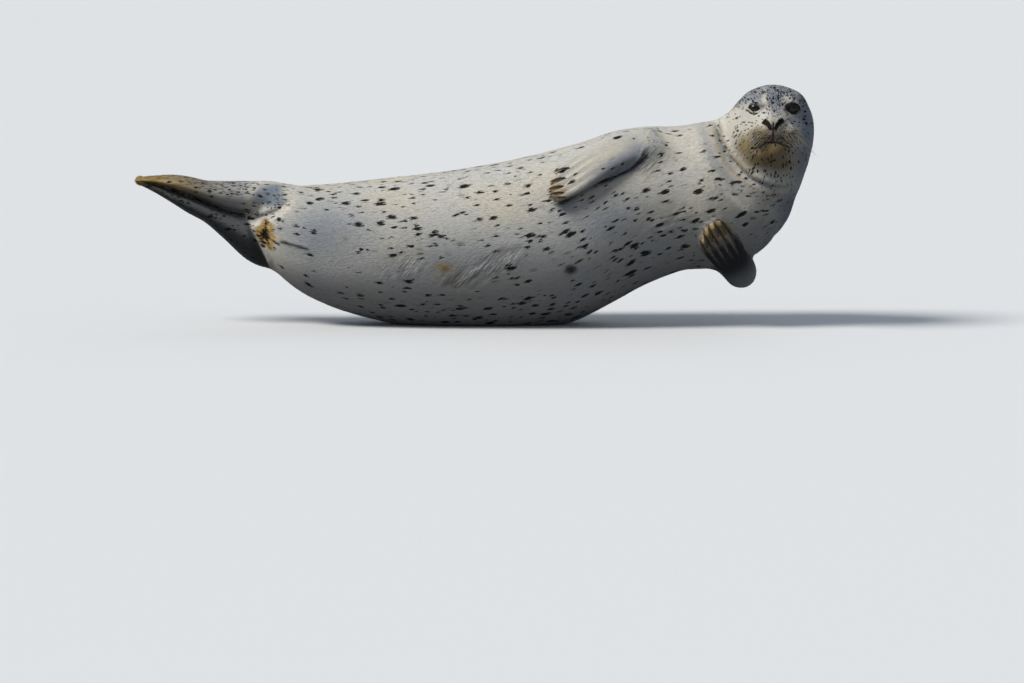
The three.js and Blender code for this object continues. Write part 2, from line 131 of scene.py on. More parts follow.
def curveThrough(xs, ys):
    xs, ys = np.array(xs, float), np.array(ys, float)
    slopes = np.gradient(ys, xs)

    def value(x):
        x = np.clip(x, xs[0], xs[-1])
        i = np.clip(np.searchsorted(xs, x) - 1, 0, len(xs) - 2)
        width = xs[i + 1] - xs[i]
        t = (x - xs[i]) / width
        level = (1 - t) ** 2 * (1 + 2 * t) * ys[i] + t * t * (3 - 2 * t) * ys[i + 1]
        bend = t * (1 - t) ** 2 * slopes[i] - t * t * (1 - t) * slopes[i + 1]
        return level + width * bend

    return value


def inBox(p, low, high):
    return ((p > np.array(low)) & (p < np.array(high))).all(1)


def nearOnly(p, low, high, form, far=0.2):
    # works a form out only inside its box, since nothing blends with it outside
    value = np.full(len(p), far)
    inside = inBox(p, low, high)
    if inside.any():
        value[inside] = form(p[inside])
    return value


def surfaceBetween(isIn, inside, outside, rounds):
    # halves the way between places inside a form and places outside it, down to its surface
    for _ in range(rounds):
        middle = (inside + outside) / 2
        within = isIn(middle)
        inside, outside = np.where(within, middle, inside), np.where(within, outside, middle)
    return inside


# Trunk and neck.
trunkGirths = [  # x, top, bottom, half depth
    (-0.530, 0.262, 0.200, 0.022),
    (-0.450, 0.321, 0.104, 0.096),
    (-0.410, 0.3265, 0.0735, 0.116),
    (-0.350, 0.3305, 0.043, 0.133),
    (-0.220, 0.344, 0.006, 0.157),
    (-0.050, 0.364, -0.010, 0.170),
    (0.100, 0.391, -0.011, 0.174),
    (0.250, 0.430, 0.012, 0.171),
    (0.330, 0.456, 0.053, 0.167),
    (0.390, 0.465, 0.086, 0.162),
    (0.480, 0.468, 0.122, 0.154),
    (0.575, 0.486, 0.146, 0.138),
    (0.640, 0.505, 0.180, 0.110),
]
trunkSizes = {
    "shoulderEnd": 0.60,
    "shoulderBlend": 0.08,
    "rumpEnd": -0.535,
    "rumpBlend": 0.03,
}
girthAt = [row[0] for row in trunkGirths]
topAt = curveThrough(girthAt, [row[1] for row in trunkGirths])
bottomAt = curveThrough(girthAt, [row[2] for row in trunkGirths])
halfDepthAt = curveThrough(girthAt, [row[3] for row in trunkGirths])


def middleAt(x):
    return (topAt(x) + bottomAt(x)) / 2


def trunk(p):
    x, y, z = p.T
    halfHeight = (topAt(x) - bottomAt(x)) / 2
    form = flatOval(y, z - middleAt(x), halfDepthAt(x), halfHeight)
    form = smoothMax(form, x - trunkSizes["shoulderEnd"], trunkSizes["shoulderBlend"])
    return smoothMax(form, trunkSizes["rumpEnd"] - x, trunkSizes["rumpBlend"])


def neck(p):
    nape = limb(p, (0.600, 0, 0.320), (0.655, -0.005, 0.385), 0.138, 0.110)
    roll = ellipsoid(p, (0.680, -0.030, 0.432), (0.106, 0.104, 0.112))
    throat = limb(p, (0.648, -0.060, 0.300), (0.690, -0.085, 0.400), 0.086, 0.074)
    return smoothMin(smoothMin(nape, roll, 0.04), throat, 0.05)


def chest(p):
    return ellipsoid(p, (0.588, 0, 0.290), (0.140, 0.150, 0.148))


# Head.
headSizes = {
    "centre": (0.6940, -0.090, 0.4805),
    "nosePitch": math.radians(12),
    "reach": 0.21,  # half the side of the box that holds the head
    "noseTip": (0.104, 0, -0.012),  # forward, aside, up from the centre
    "faceMiddle": (0.06, 0, -0.01),
}
headCentre = np.array(headSizes["centre"])
pitch = headSizes["nosePitch"]
forward = np.array([0, -math.cos(pitch), math.sin(pitch)])
leftward = np.array([1.0, 0, 0])
upward = np.cross(forward, leftward)
headAxes = np.stack([forward, leftward, upward], 1)

eyeSizes = {
    "place": (0.047, 0.0415, 0.0245),  # forward, aside, up from the head's centre
    "radius": 0.0190,
    "looks": (0.95, 0.29, 0.03),
    "lidThick": 0.0016,
    "lidHeight": 0.0045,
    "foldBelow": 0.0062,  # a fine fold under the lower lid, and how far it is from the opening
    "halfWidth": 0.0140,
    "upper": 0.0072,
    "lower": 0.0074,
    "slant": 0.0022,  # how much lower the inner corner is
    "dome": 0.035,  # rise of the clear dome, of the radius
    "domeReach": 0.75,  # in radians from the middle
}


def inHead(p):
    return (p - headCentre) @ headAxes


def fromHead(q):
    return headCentre + np.asarray(q) @ headAxes.T


def folded(q, middle=0.0):
    # both sides of the head folded onto the left
    m = q.copy()
    m[:, 1] = np.abs(m[:, 1] - middle)
    return m


def headForm(q):
    m = folded(q)
    form = ellipsoid(q, (-0.022, 0, 0.013), (0.086, 0.087, 0.079))
    form = smoothMin(form, ellipsoid(m, (-0.012, 0.042, -0.018), (0.062, 0.050, 0.062)), 0.03)
    form = smoothMin(form, limb(q, (0.018, 0, 0.002), (0.086, 0, -0.030), 0.060, 0.036), 0.022)
    form = smoothMin(form, ellipsoid(m, (0.083, 0.028, -0.043), (0.033, 0.030, 0.028)), 0.010)
    form = smoothMin(form, ellipsoid(q, (0.103, 0, -0.019), (0.018, 0.022, 0.017)), 0.012)
    form = smoothMin(form, limb(q, (-0.01, 0, -0.054), (0.068, 0, -0.070), 0.058, 0.033), 0.014)
    form = smoothMin(form, ellipsoid(q, (0.066, 0, -0.074), (0.036, 0.036, 0.028)), 0.012)
    form = smoothMin(form, ellipsoid(m, (0.018, 0.046, -0.046), (0.050, 0.040, 0.044)), 0.022)
    return smoothMin(form, ellipsoid(m, (0.018, 0.040, 0.044), (0.032, 0.030, 0.024)), 0.025)


def onFace(left, up):
    # how far forward the face is, at places beside and above the head's centre
    left, up = (np.atleast_1d(value).astype(float) for value in (left, up))
    left, up = np.broadcast_arrays(left, up)
    reach = surfaceBetween(
        lambda ahead: headForm(np.stack([ahead, left, up], 1)) < 0,
        np.zeros(left.shape),
        np.full(left.shape, 0.16),
        24,
    )
    return np.stack([reach, left, up], 1)


looks = np.array(eyeSizes["looks"]) / np.linalg.norm(eyeSizes["looks"])
eyeAcross = np.cross((0, 0, 1), looks)  # from the inner corner to the outer one
eyeAcross /= np.linalg.norm(eyeAcross)
eyeOver = np.cross(looks, eyeAcross)
eyeFrame = np.stack([eyeAcross, eyeOver, looks], 1)
eyePlace = np.array(eyeSizes["place"])


def eyeballGap(m):
    return np.linalg.norm(m - eyePlace, axis=1) - eyeSizes["radius"]


def lidGap(m):
    # negative between the lids, for points of the head with both sides folded onto the left
    across, over, _ = ((m - eyePlace) @ eyeFrame).T
    u = across / eyeSizes["halfWidth"]
    arch = np.clip(1 - u * u, 0, 1) ** 0.75
    middle = eyeSizes["slant"] * u
    upper = over - middle - eyeSizes["upper"] * arch
    lower = middle - eyeSizes["lower"] * arch - over
    ends = (np.abs(u) - 1) * eyeSizes["halfWidth"]
    return np.maximum(np.maximum(upper, lower), ends) * 0.8


# The nose: two slits that make a V, a groove down to the lip, and the line of the mouth.
muzzle = {
    "aside": -0.0042,  # the middle of the muzzle
    "nostrilTop": (0.0215, -0.0110),
    "nostrilBottom": (0.0064, -0.0310),
    "nostrilWidths": (0.0050, 0.0020),
    "grooveTop": -0.017,
    "grooveWidth": 0.0010,
    "lipTop": -0.0620,
    "lipDrop": 0.0095,
    "mouthHalfWidth": 0.047,
    "mouthWidth": 0.0018,
}
lipPoints, groovePoints, nostrilPoints = 12, 6, 5


def lipLine(left):
    u = np.abs(left) / muzzle["mouthHalfWidth"]
    drop, cornerRise = muzzle["lipDrop"] * smoothStep(0.12, 0.85, u), 0.002 * smoothStep(0.85, 1, u)
    return muzzle["lipTop"] - drop + cornerRise


def onBothSides(asides, heights):
    # a path on each side of the muzzle's middle
    return [onFace(muzzle["aside"] + side * np.asarray(asides), heights) for side in (-1, 1)]


lipAsides = np.linspace(0, muzzle["mouthHalfWidth"], lipPoints)
lipPaths = onBothSides(lipAsides, lipLine(lipAsides))
grooveHeights = np.linspace(muzzle["grooveTop"], muzzle["lipTop"], groovePoints)
groovePath = onFace(np.full(groovePoints, muzzle["aside"]), grooveHeights)
nostrilPath = np.linspace(muzzle["nostrilTop"], muzzle["nostrilBottom"], nostrilPoints)
nostrilPath[:, 0] -= 0.0022 * np.sin(np.linspace(0, np.pi, nostrilPoints))  # the V's arms bow inwards
nostrilPaths = onBothSides(nostrilPath[:, 0], nostrilPath[:, 1])


def ofMuzzle(q):
    return folded(q, muzzle["aside"])


def nostrilAway(q):
    widths = np.linspace(*muzzle["nostrilWidths"], nostrilPoints)
    return np.minimum(*(pathDistance(q, path - (0.0015, 0, 0), widths) for path in nostrilPaths))


def grooveAway(q):
    return pathDistance(q, groovePath, np.full(groovePoints, muzzle["grooveWidth"]))


def lipsAway(q):
    widths = np.full(lipPoints, muzzle["mouthWidth"])
    return np.minimum(*(pathDistance(q, path, widths) for path in lipPaths))


def faceDetail(q, form):
    # cuts and folds that only the skin has
    m = folded(q)
    eyeball, gap = eyeballGap(m), lidGap(m)
    lids = np.maximum(eyeball - eyeSizes["lidThick"], gap - eyeSizes["lidHeight"])
    form = smoothMin(form, lids, 0.005)
    over = ((m - eyePlace) @ eyeFrame)[:, 1]
    underFold = np.maximum(np.abs(gap - eyeSizes["foldBelow"]) - 0.0004, over + 0.001)
    onLid = np.maximum(underFold, np.abs(eyeball - 0.001) - 0.004)
    form = smoothMax(form, -onLid, 0.0022)
    ahead = (m - eyePlace) @ looks
    opening = np.maximum(np.maximum(gap, -(eyeball + 0.0012)), 0.004 - ahead)
    form = smoothMax(form, -opening, 0.0008)
    for cutAway, soft in ((nostrilAway, 0.002), (grooveAway, 0.002), (lipsAway, 0.0035)):
        form = smoothMax(form, -cutAway(q), soft)
    return form


# Flippers and tail.
digits = 5


def webbing(u):
    # 1 between two digits and 0 on each digit, for u from -1 to 1 across a flipper
    return 0.5 + 0.5 * np.cos(np.pi * digits * (np.clip(u, -1, 1) + 1))


foreRight = {
    "root": (0.425, -0.082, 0.428),
    "tip": (0.163, -0.160, 0.322),
    "outward": ((0, -0.66, 0.75), (0, -0.86, 0.51)),  # at the root and at the tip
    "sections": [  # along, middle, half width, half thickness
        (0, 0.008, 0.036, 0.026),
        (0.06, 0.010, 0.045, 0.0265),
        (0.12, 0.010, 0.047, 0.0235),
        (0.17, 0.006, 0.0465, 0.0185),
        (0.21, 0.003, 0.0455, 0.014),
        (0.25, 0, 0.041, 0.0105),
        (0.29, -0.001, 0.035, 0.007),
    ],
    "blunt": 3.0,  # 2 is an oval section, more is squarer
    "length": 0.289,
    "longestDigit": -0.45,
    "slant": 0.026,
    "clawsAt": (-0.62, -0.26, 0.08, 0.43, 0.78),
    "bow": 0.020,
    "ridgesFrom": 0.5,
}
foreLeft = {
    "root": (0.622, -0.072, 0.122),
    "tip": (0.536, -0.162, 0.246),
    "outward": ((0.10, -0.75, -0.50), (0.10, -0.75, -0.50)),
    "sections": [
        (0, 0.003, 0.032, 0.030),
        (0.04, 0.003, 0.038, 0.026),
        (0.08, 0.003, 0.044, 0.019),
        (0.12, 0.003, 0.046, 0.0135),
        (0.17, 0.003, 0.043, 0.008),
    ],
    "blunt": 2.3,
    "length": 0.172,
    "longestDigit": 0.4,
    "slant": 0.020,
    "clawsAt": (-0.8, -0.4, 0, 0.4, 0.8),
    "bow": 0.006,
    "ridgesFrom": 0.4,
}
foreLeftArm = ((0.590, -0.020, 0.175), (0.622, -0.072, 0.126), 0.055, 0.036)
webNotch = 0.006


class Paddle:
    # a fore flipper, on a straight line from its root to its tip
    def __init__(self, sizes):
        self.sizes = sizes
        self.root, tip = np.array(sizes["root"]), np.array(sizes["tip"])
        self.reach = np.linalg.norm(tip - self.root)
        self.along = (tip - self.root) / self.reach
        rows = np.array(sizes["sections"])
        curves = (curveThrough(rows[:, 0], rows[:, k]) for k in (1, 2, 3))
        self.middle, self.halfWidth, self.halfThick = curves

    def axes(self, s):
        turn = np.clip(s / self.reach, 0, 1)[:, None]
        first, last = (np.array(way) for way in self.sizes["outward"])
        outward = first * (1 - turn) + last * turn
        outward = outward - (outward @ self.along)[:, None] * self.along
        outward /= np.linalg.norm(outward, axis=1)[:, None]
        return np.cross(self.along, outward), outward

    def end(self, u):
        return self.sizes["length"] - self.sizes["slant"] * (u - self.sizes["longestDigit"]) ** 2

    def bow(self, s):
        return self.sizes["bow"] * np.sin(np.pi * np.clip(s / self.reach, 0, 1))

    def thick(self, s, u):
        fade = np.clip((s / self.reach - self.sizes["ridgesFrom"]) / 0.3, 0, 1)
        return self.halfThick(s) * (1 - 0.22 * fade * webbing(u))

    def place(self, p):
        # along, across in half widths, and height over the middle
        out = p - self.root
        s = out @ self.along
        across, outward = self.axes(s)
        u = ((out * across).sum(1) - self.middle(s)) / self.halfWidth(s)
        return s, u, (out * outward).sum(1) - self.bow(s)

    def form(self, p):
        s, u, height = self.place(p)
        width = self.halfWidth(s)
        form = bluntOval(u * width, height, width, self.thick(s, u), self.sizes["blunt"])
        form = smoothMax(form, s - self.end(u) + webNotch * webbing(u), 0.008)
        return smoothMax(form, -s, 0.02)

    def point(self, s, u, rise):
        # rise is in half thicknesses
        s, u, rise = (np.atleast_1d(np.asarray(v, float)) for v in (s, u, rise))
        across, outward = self.axes(s)
        sideways = (self.middle(s) + self.halfWidth(s) * u)[:, None] * across
        height = (self.bow(s) + self.thick(s, u) * rise)[:, None] * outward
        return self.root + s[:, None] * self.along + sideways + height


foreRightPaddle, foreLeftPaddle = forePaddles = Paddle(foreRight), Paddle(foreLeft)

hindFan = {
    "middle": 0.012,
    "start": -0.40,
    "end": -0.795,
    "fingersFrom": -0.56,
    "fingersFade": 0.12,
    "blunt": 2,
    "clawsAt": (-0.8, -0.4, 0, 0.4, 0.8),
}
fanSections = [  # x, half width
    (-0.795, 0.036),
    (-0.748, 0.050),
    (-0.710, 0.058),
    (-0.650, 0.062),
    (-0.530, 0.058),
    (-0.400, 0.060),
]
hindRight = [  # x, height of the middle, half height
    (-0.795, 0.3400, 0.0040),
    (-0.748, 0.3385, 0.0100),
    (-0.710, 0.3335, 0.0175),
    (-0.672, 0.3245, 0.0222),
    (-0.633, 0.3130, 0.0250),
    (-0.595, 0.3045, 0.0320),
    (-0.530, 0.2980, 0.0378),
    (-0.465, 0.2910, 0.0425),
    (-0.400, 0.2700, 0.0400),
]
hindLeft = [
    (-0.795, 0.3350, 0.0040),
    (-0.748, 0.3180, 0.0125),
    (-0.710, 0.2990, 0.0172),
    (-0.672, 0.2805, 0.0230),
    (-0.633, 0.2615, 0.0260),
    (-0.595, 0.2375, 0.0355),
    (-0.530, 0.2020, 0.0576),
    (-0.460, 0.1900, 0.0660),
    (-0.400, 0.1900, 0.0660),
]
fanAt = curveThrough([row[0] for row in fanSections], [row[1] for row in fanSections])


class Fan:
    # a hind flipper, which runs along X
    def __init__(self, rows):
        xs = [row[0] for row in rows]
        self.height = curveThrough(xs, [row[1] for row in rows])
        self.halfHeight = curveThrough(xs, [row[2] for row in rows])

    def thick(self, x, u):
        fade = np.clip((hindFan["fingersFrom"] - x) / hindFan["fingersFade"], 0, 1)
        return self.halfHeight(x) * (1 - 0.16 * fade * webbing(u))

    def end(self, u):
        return hindFan["end"]

    def form(self, p):
        x, y, z = p.T
        u = (y - hindFan["middle"]) / fanAt(x)
        form = flatOval(u * fanAt(x), z - self.height(x), fanAt(x), self.thick(x, u))
        tip = hindFan["end"] + 0.008 * webbing(u)
        form = smoothMax(form, tip - x, 0.008)
        return smoothMax(form, x - hindFan["start"], 0.03)

    def point(self, x, u, rise):
        x, u, rise = (np.atleast_1d(np.asarray(v, float)) for v in (x, u, rise))
        y, z = hindFan["middle"] + fanAt(x) * u, self.height(x) + self.thick(x, u) * rise
        return np.stack([x, y, z], 1)


hindRightFan, hindLeftFan = Fan(hindRight), Fan(hindLeft)


tailSizes = {
    "start": (-0.44, 0.055, 0.235),
    "end": (-0.560, 0.080, 0.245),
    "radii": (0.034, 0.017),
    "flat": 0.55,  # of its width
}


def tail(p):
    stretch = (1, 1, 1 / tailSizes["flat"])
    start, end = (np.array(tailSizes[key]) * stretch for key in ("start", "end"))
    return limb(p * stretch, start, end, *tailSizes["radii"]) * 0.6


# The whole seal.
headBox = (headCentre - headSizes["reach"], headCentre + headSizes["reach"])


def foreFlippers(p):
    right = nearOnly(p, (0.09, -0.25, 0.24), (0.52, 0.0, 0.53), foreRightPaddle.form)
    left = nearOnly(p, (0.44, -0.25, 0.0), (0.72, 0.08, 0.34), foreLeftPaddle.form)
    arm = nearOnly(p, (0.44, -0.20, 0.0), (0.74, 0.12, 0.34), lambda q: limb(q, *foreLeftArm))
    return right, smoothMin(left, arm, 0.02)


def hindFlippers(p):
    low, high = (-0.9, -0.14, 0.06), (-0.33, 0.16, 0.42)
    return nearOnly(p, low, high, hindRightFan.form), nearOnly(p, low, high, hindLeftFan.form)


def outline(p):
    x, y, z = p.T
    head = nearOnly(p, *headBox, lambda q: headForm(inHead(q)))
    neckForm = nearOnly(p, (0.30, -0.35, 0.05), (0.95, 0.30, 0.70), neck)
    chestForm = nearOnly(p, (0.33, -0.30, 0.0), (0.85, 0.30, 0.58), chest)
    torso = smoothMin(trunk(p), chestForm, 0.06)
    # the crease behind the jaw is sharp on the right, and fades over the nape and throat
    fade = np.maximum(np.clip((x - 0.70) / 0.06, 0, 1), np.clip(y / 0.10, 0, 1))
    fade = np.maximum(fade, 0.48 * np.clip((z - 0.445) / 0.030, 0, 1))
    form = smoothMin(torso, smoothMin(head, neckForm, 0.03), 0.012 + 0.06 * fade)
    hindR, hindL = hindFlippers(p)
    pressed = np.maximum(hindR, hindL) - 0.0035  # closes the gap where the two lie on each other
    form = smoothMin(form, smoothMin(smoothMin(hindR, hindL, 0.006), pressed, 0.003), 0.02)
    form = smoothMin(form, nearOnly(p, (-0.68, -0.06, 0.12), (-0.33, 0.18, 0.36), tail), 0.02)
    right, left = foreFlippers(p)
    form = smoothMin(form, right, 0.006 + 0.048 * smoothStep(0.34, 0.42, x))
    form = smoothMin(form, left, 0.014)
    return smoothMax(form, -z, 0.004)


coatDepths = {"body": 0.0030, "flipper": 0.0016, "face": 0.0009}


def faceShare(p):
    return smoothStep(0.165, 0.10, np.linalg.norm(p - fromHead(headSizes["faceMiddle"]), axis=1))


def flipperShare(p):
    right, left = foreFlippers(p)
    hindR, hindL = hindFlippers(p)
    return smoothStep(0.014, 0.0, np.minimum(np.minimum(right, left), np.minimum(hindR, hindL)))


def ofPart(values, onFlipper, onFace):
    # the body's value, changed to that of the flippers and then to that of the face
    value = values["body"] + (values["flipper"] - values["body"]) * onFlipper
    return value + (values["face"] - value) * onFace


def coatDepth(p):
    depth = ofPart(coatDepths, flipperShare(p), faceShare(p))
    return depth * (0.1 + 0.9 * smoothStep(0, 0.03, p[:, 2]))  # pressed flat on the floor


# Folds of the skin: each runs through points given by X and Z on the seal's belly side.
foldRows = [  # points, width, depth
    ([(0.388, 0.211), (0.425, 0.239), (0.448, 0.246), (0.495, 0.293)], 0.0045, 0.0034),
    ([(0.425, 0.239), (0.470, 0.252), (0.523, 0.267)], 0.0045, 0.0028),
    ([(-0.454, 0.200), (-0.420, 0.193), (-0.388, 0.185)], 0.0030, 0.0035),
    ([(-0.163, 0.137), (-0.145, 0.156), (-0.128, 0.175)], 0.006, 0.0018),
    ([(-0.063, 0.099), (-0.012, 0.142), (0.069, 0.189)], 0.007, 0.0026),
    ([(-0.038, 0.096), (0.020, 0.135), (0.087, 0.192)], 0.007, 0.0026),
    ([(-0.012, 0.094), (0.058, 0.147), (0.104, 0.194)], 0.007, 0.0026),
    ([(0.560, 0.372), (0.585, 0.330), (0.625, 0.292)], 0.010, 0.0030),
]
folds = [{"points": points, "width": width, "depth": depth} for points, width, depth in foldRows]
crease = {  # between the neck and the body, on the right side
    "points": [
        (0.572, 0.473),
        (0.579, 0.440),
        (0.595, 0.408),
        (0.618, 0.382),
        (0.646, 0.357),
        (0.689, 0.340),
        (0.720, 0.335),
    ],
    "groovePlace": -0.0055,
    "width": 0.0100,  # of the groove's side on the body
    "steep": 0.0040,  # and of its side under the roll
    "depth": 0.0065,
    "rollPlace": 0.005,
    "rollWidth": 0.006,
    "rollHeight": 0.0028,
}
hipFold = {  # where the lower hind flipper leaves the hip
    "points": [(-0.534, 0.249), (-0.523, 0.226), (-0.506, 0.194), (-0.489, 0.154)],
    "groovePlace": -0.004,
    "width": 0.0090,
    "steep": 0.0045,
    "depth": 0.0070,
    "rollPlace": 0.007,
    "rollWidth": 0.006,
    "rollHeight": 0.0024,
}
rootFold = {  # where the upper hind flipper lies over the hip
    "points": [
        (-0.535, 0.247),
        (-0.494, 0.2604),
        (-0.464, 0.2742),
        (-0.449, 0.289),
        (-0.437, 0.303),
        (-0.424, 0.326),
    ],
    "groovePlace": -0.003,
    "width": 0.0100,
    "steep": 0.0045,
    "depth": 0.0060,
    "rollPlace": 0.007,
    "rollWidth": 0.007,
    "rollHeight": 0.0022,
}
vent = {"centre": (-0.491, 0.214), "radius": 0.033, "count": 9, "depth": 0.0024}  # a puckered patch


def sideOf(p, points):
    # distance from a path given by X and Z: positive to the left of the way it runs
    x, z = p[:, 0], p[:, 2]
    nearest, side = np.full(len(p), 9.0), np.ones(len(p))
    for (ax, az), (bx, bz) in zip(points[:-1], points[1:]):
        dx, dz = bx - ax, bz - az
        share = np.clip(((x - ax) * dx + (z - az) * dz) / (dx * dx + dz * dz), 0, 1)
        away = np.hypot(x - ax - share * dx, z - az - share * dz)
        left = np.sign(dx * (z - az) - dz * (x - ax))
        side = np.where(away < nearest, left, side)
        nearest = np.minimum(nearest, away)
    return nearest * side


def creaseFade(p):
    ends = smoothStep(0.745, 0.690, p[:, 0]) * smoothStep(0.490, 0.465, p[:, 2])
    return smoothStep(0.03, -0.04, p[:, 1]) * ends


def hipFade(p):
    return smoothStep(0.01, -0.01, p[:, 1]) * smoothStep(-0.535, -0.52, p[:, 0])


def rootFade(p):
    ends = smoothStep(-0.532, -0.515, p[:, 0]) * smoothStep(0.305, 0.275, p[:, 2])
    return smoothStep(0.01, -0.01, p[:, 1]) * ends


def foldDepth(fold, side):
    # a groove that is steep under the roll beside it
    width = np.where(side > fold["groovePlace"], fold["steep"], fold["width"])
    groove = ridge(side - fold["groovePlace"], width)
    roll = ridge(side - fold["rollPlace"], fold["rollWidth"])
    return fold["depth"] * groove - fold["rollHeight"] * roll


def onBelly(points):
    x, z = np.array(points).T
    within, beyond = np.zeros(len(x)), np.full(len(x), -0.4)
    y = surfaceBetween(lambda y: outline(np.stack([x, y, z], 1)) < 0, within, beyond, 22)
    return np.stack([x, y, z], 1)


for fold in folds:
    fold["path"] = onBelly(fold["points"])
ventPath = folds[2]["path"]
ventLineBox = (ventPath.min(0) - 0.02, ventPath.max(0) + 0.02)


def bodyFolds(p):
    depth = np.zeros(len(p))
    for fold in folds:
        path = fold["path"]
        low, high = path.min(0) - 0.05, path.max(0) + 0.05
        away = nearOnly(p, low, high, lambda q: pathDistance(q, path, np.zeros(len(path))), 1.0)
        away = away / fold["width"]
        depth += fold["depth"] * (ridge(away, 1) - 0.35 * ridge(away, 2.4))
    dx, dz = p[:, 0] - vent["centre"][0], p[:, 2] - vent["centre"][1]
    r = np.hypot(dx, dz) / vent["radius"]
    rays = 0.5 + 0.5 * np.cos(vent["count"] * np.arctan2(dz, dx))
    pucker = smoothStep(1.1, 0.5, r) * (rays + 1.5 * smoothStep(0.35, 0.1, r))
    depth += vent["depth"] * pucker * smoothStep(0.0, -0.02, p[:, 1])
    for fold, fade in ((crease, creaseFade), (rootFold, rootFade), (hipFold, hipFade)):
        depth += fade(p) * foldDepth(fold, sideOf(p, fold["points"]))
    return depth


def skinForm(p):
    form = outline(p) + coatDepth(p) + bodyFolds(p)
    inside = inBox(p, *headBox)
    form[inside] = faceDetail(inHead(p[inside]), form[inside])
    return form


# Skin mesh.
gridStep = 0.0101  # the grid's step where nothing is magnified
zooms = [  # places where the grid is finer, and how many times
    {"centre": fromHead((0.084, 0, -0.010)), "inner": 0.062, "outer": 0.115, "times": 4.8},
    {"centre": foreRightPaddle.point(0.26, 0, 0)[0], "inner": 0.050, "outer": 0.120, "times": 1.6},
    {"centre": foreLeftPaddle.point(0.13, 0, 0)[0], "inner": 0.050, "outer": 0.100, "times": 1.4},
    {"centre": np.array((-0.725, 0.012, 0.322)), "inner": 0.075, "outer": 0.170, "times": 1.5},
    {"centre": np.array((-0.480, -0.050, 0.240)), "inner": 0.060, "outer": 0.110, "times": 2.0},
]


def resized(p, zoom, before, after):
    out = p - zoom["at"]
    radius = np.maximum(np.linalg.norm(out, axis=1), 1e-9)
    return zoom["at"] + out * (np.interp(radius, zoom[before], zoom[after]) / radius)[:, None]


def zoomed(p, zoom):
    return resized(p, zoom, "radii", "stretched")


def unzoomed(g):
    for zoom in reversed(zooms):
        g = resized(g, zoom, "stretched", "radii")
    return g


def readyZooms():
    # each zoom stretches space round its centre, and carries the centres of the later ones with it
    for i, zoom in enumerate(zooms):
        radii = np.linspace(0, 4, 8001)
        times = 1 + (zoom["times"] - 1) * smoothStep(zoom["outer"], zoom["inner"], radii)
        zoom["radii"] = radii
        zoom["stretched"] = np.concatenate([[0], np.cumsum((times[1:] + times[:-1]) / 2 * radii[1])])
        at = zoom["centre"][None]
        for earlier in zooms[:i]:
            at = zoomed(at, earlier)
        zoom["at"] = at[0]


def gridAxes(low, high):
    # grid lines that hold the whole seal after stretching
    edge = [np.linspace(low[k], high[k], 12) for k in range(3)]
    box = np.stack(np.meshgrid(*edge, indexing="ij"), -1).reshape(-1, 3)
    for zoom in zooms:
        box = zoomed(box, zoom)
    return [np.arange(box[:, k].min(), box[:, k].max(), gridStep) for k in range(3)]


def inChunks(form, points, size=200000):
    return np.concatenate([form(points[i:i + size]) for i in range(0, len(points), size)])


corners = [(i, j, k) for i in (0, 1) for j in (0, 1) for k in (0, 1)]  # of a cell of the grid


def cornerOf(grid, corner, count):
    i, j, k = corner
    return grid[i:i + count[0], j:j + count[1], k:k + count[2]]


def surfaceNet(form, axes, block=4):
    # quads of the zero surface; the fine grid is worked out only in blocks near the surface
    axes = [line[:(len(line) - 1) // block * block + 1] for line in axes]
    rough = [line[::block] for line in axes]
    count = np.array([len(line) for line in rough]) - 1
    size = count * block + 1
    at = unzoomed(np.stack(np.meshgrid(*rough, indexing="ij"), -1).reshape(-1, 3))
    value = inChunks(form, at).reshape(count + 1)
    at = at.reshape(*(count + 1), 3)
    nearest = np.min([np.abs(cornerOf(value, corner, count)) for corner in corners], 0)
    across = [cornerOf(at, corners[i], count) - cornerOf(at, corners[7 - i], count) for i in range(4)]
    diagonal = np.max([np.linalg.norm(away, axis=-1) for away in across], 0)
    fine = value
    for axis in range(3):
        fine = np.repeat(fine, block, axis)
    fine = np.sign(fine[:size[0], :size[1], :size[2]])
    need = np.zeros(size, bool)
    blocks = np.argwhere(nearest < 1.15 * diagonal) * block
    for offset in np.ndindex(block + 1, block + 1, block + 1):
        need[tuple((blocks + offset).T)] = True
    where = np.argwhere(need)
    points = unzoomed(np.stack([axes[k][where[:, k]] for k in range(3)], 1))
    fine[tuple(where.T)] = inChunks(form, points)
    verts, quads = netOf(fine, axes)
    return unzoomed(verts), quads


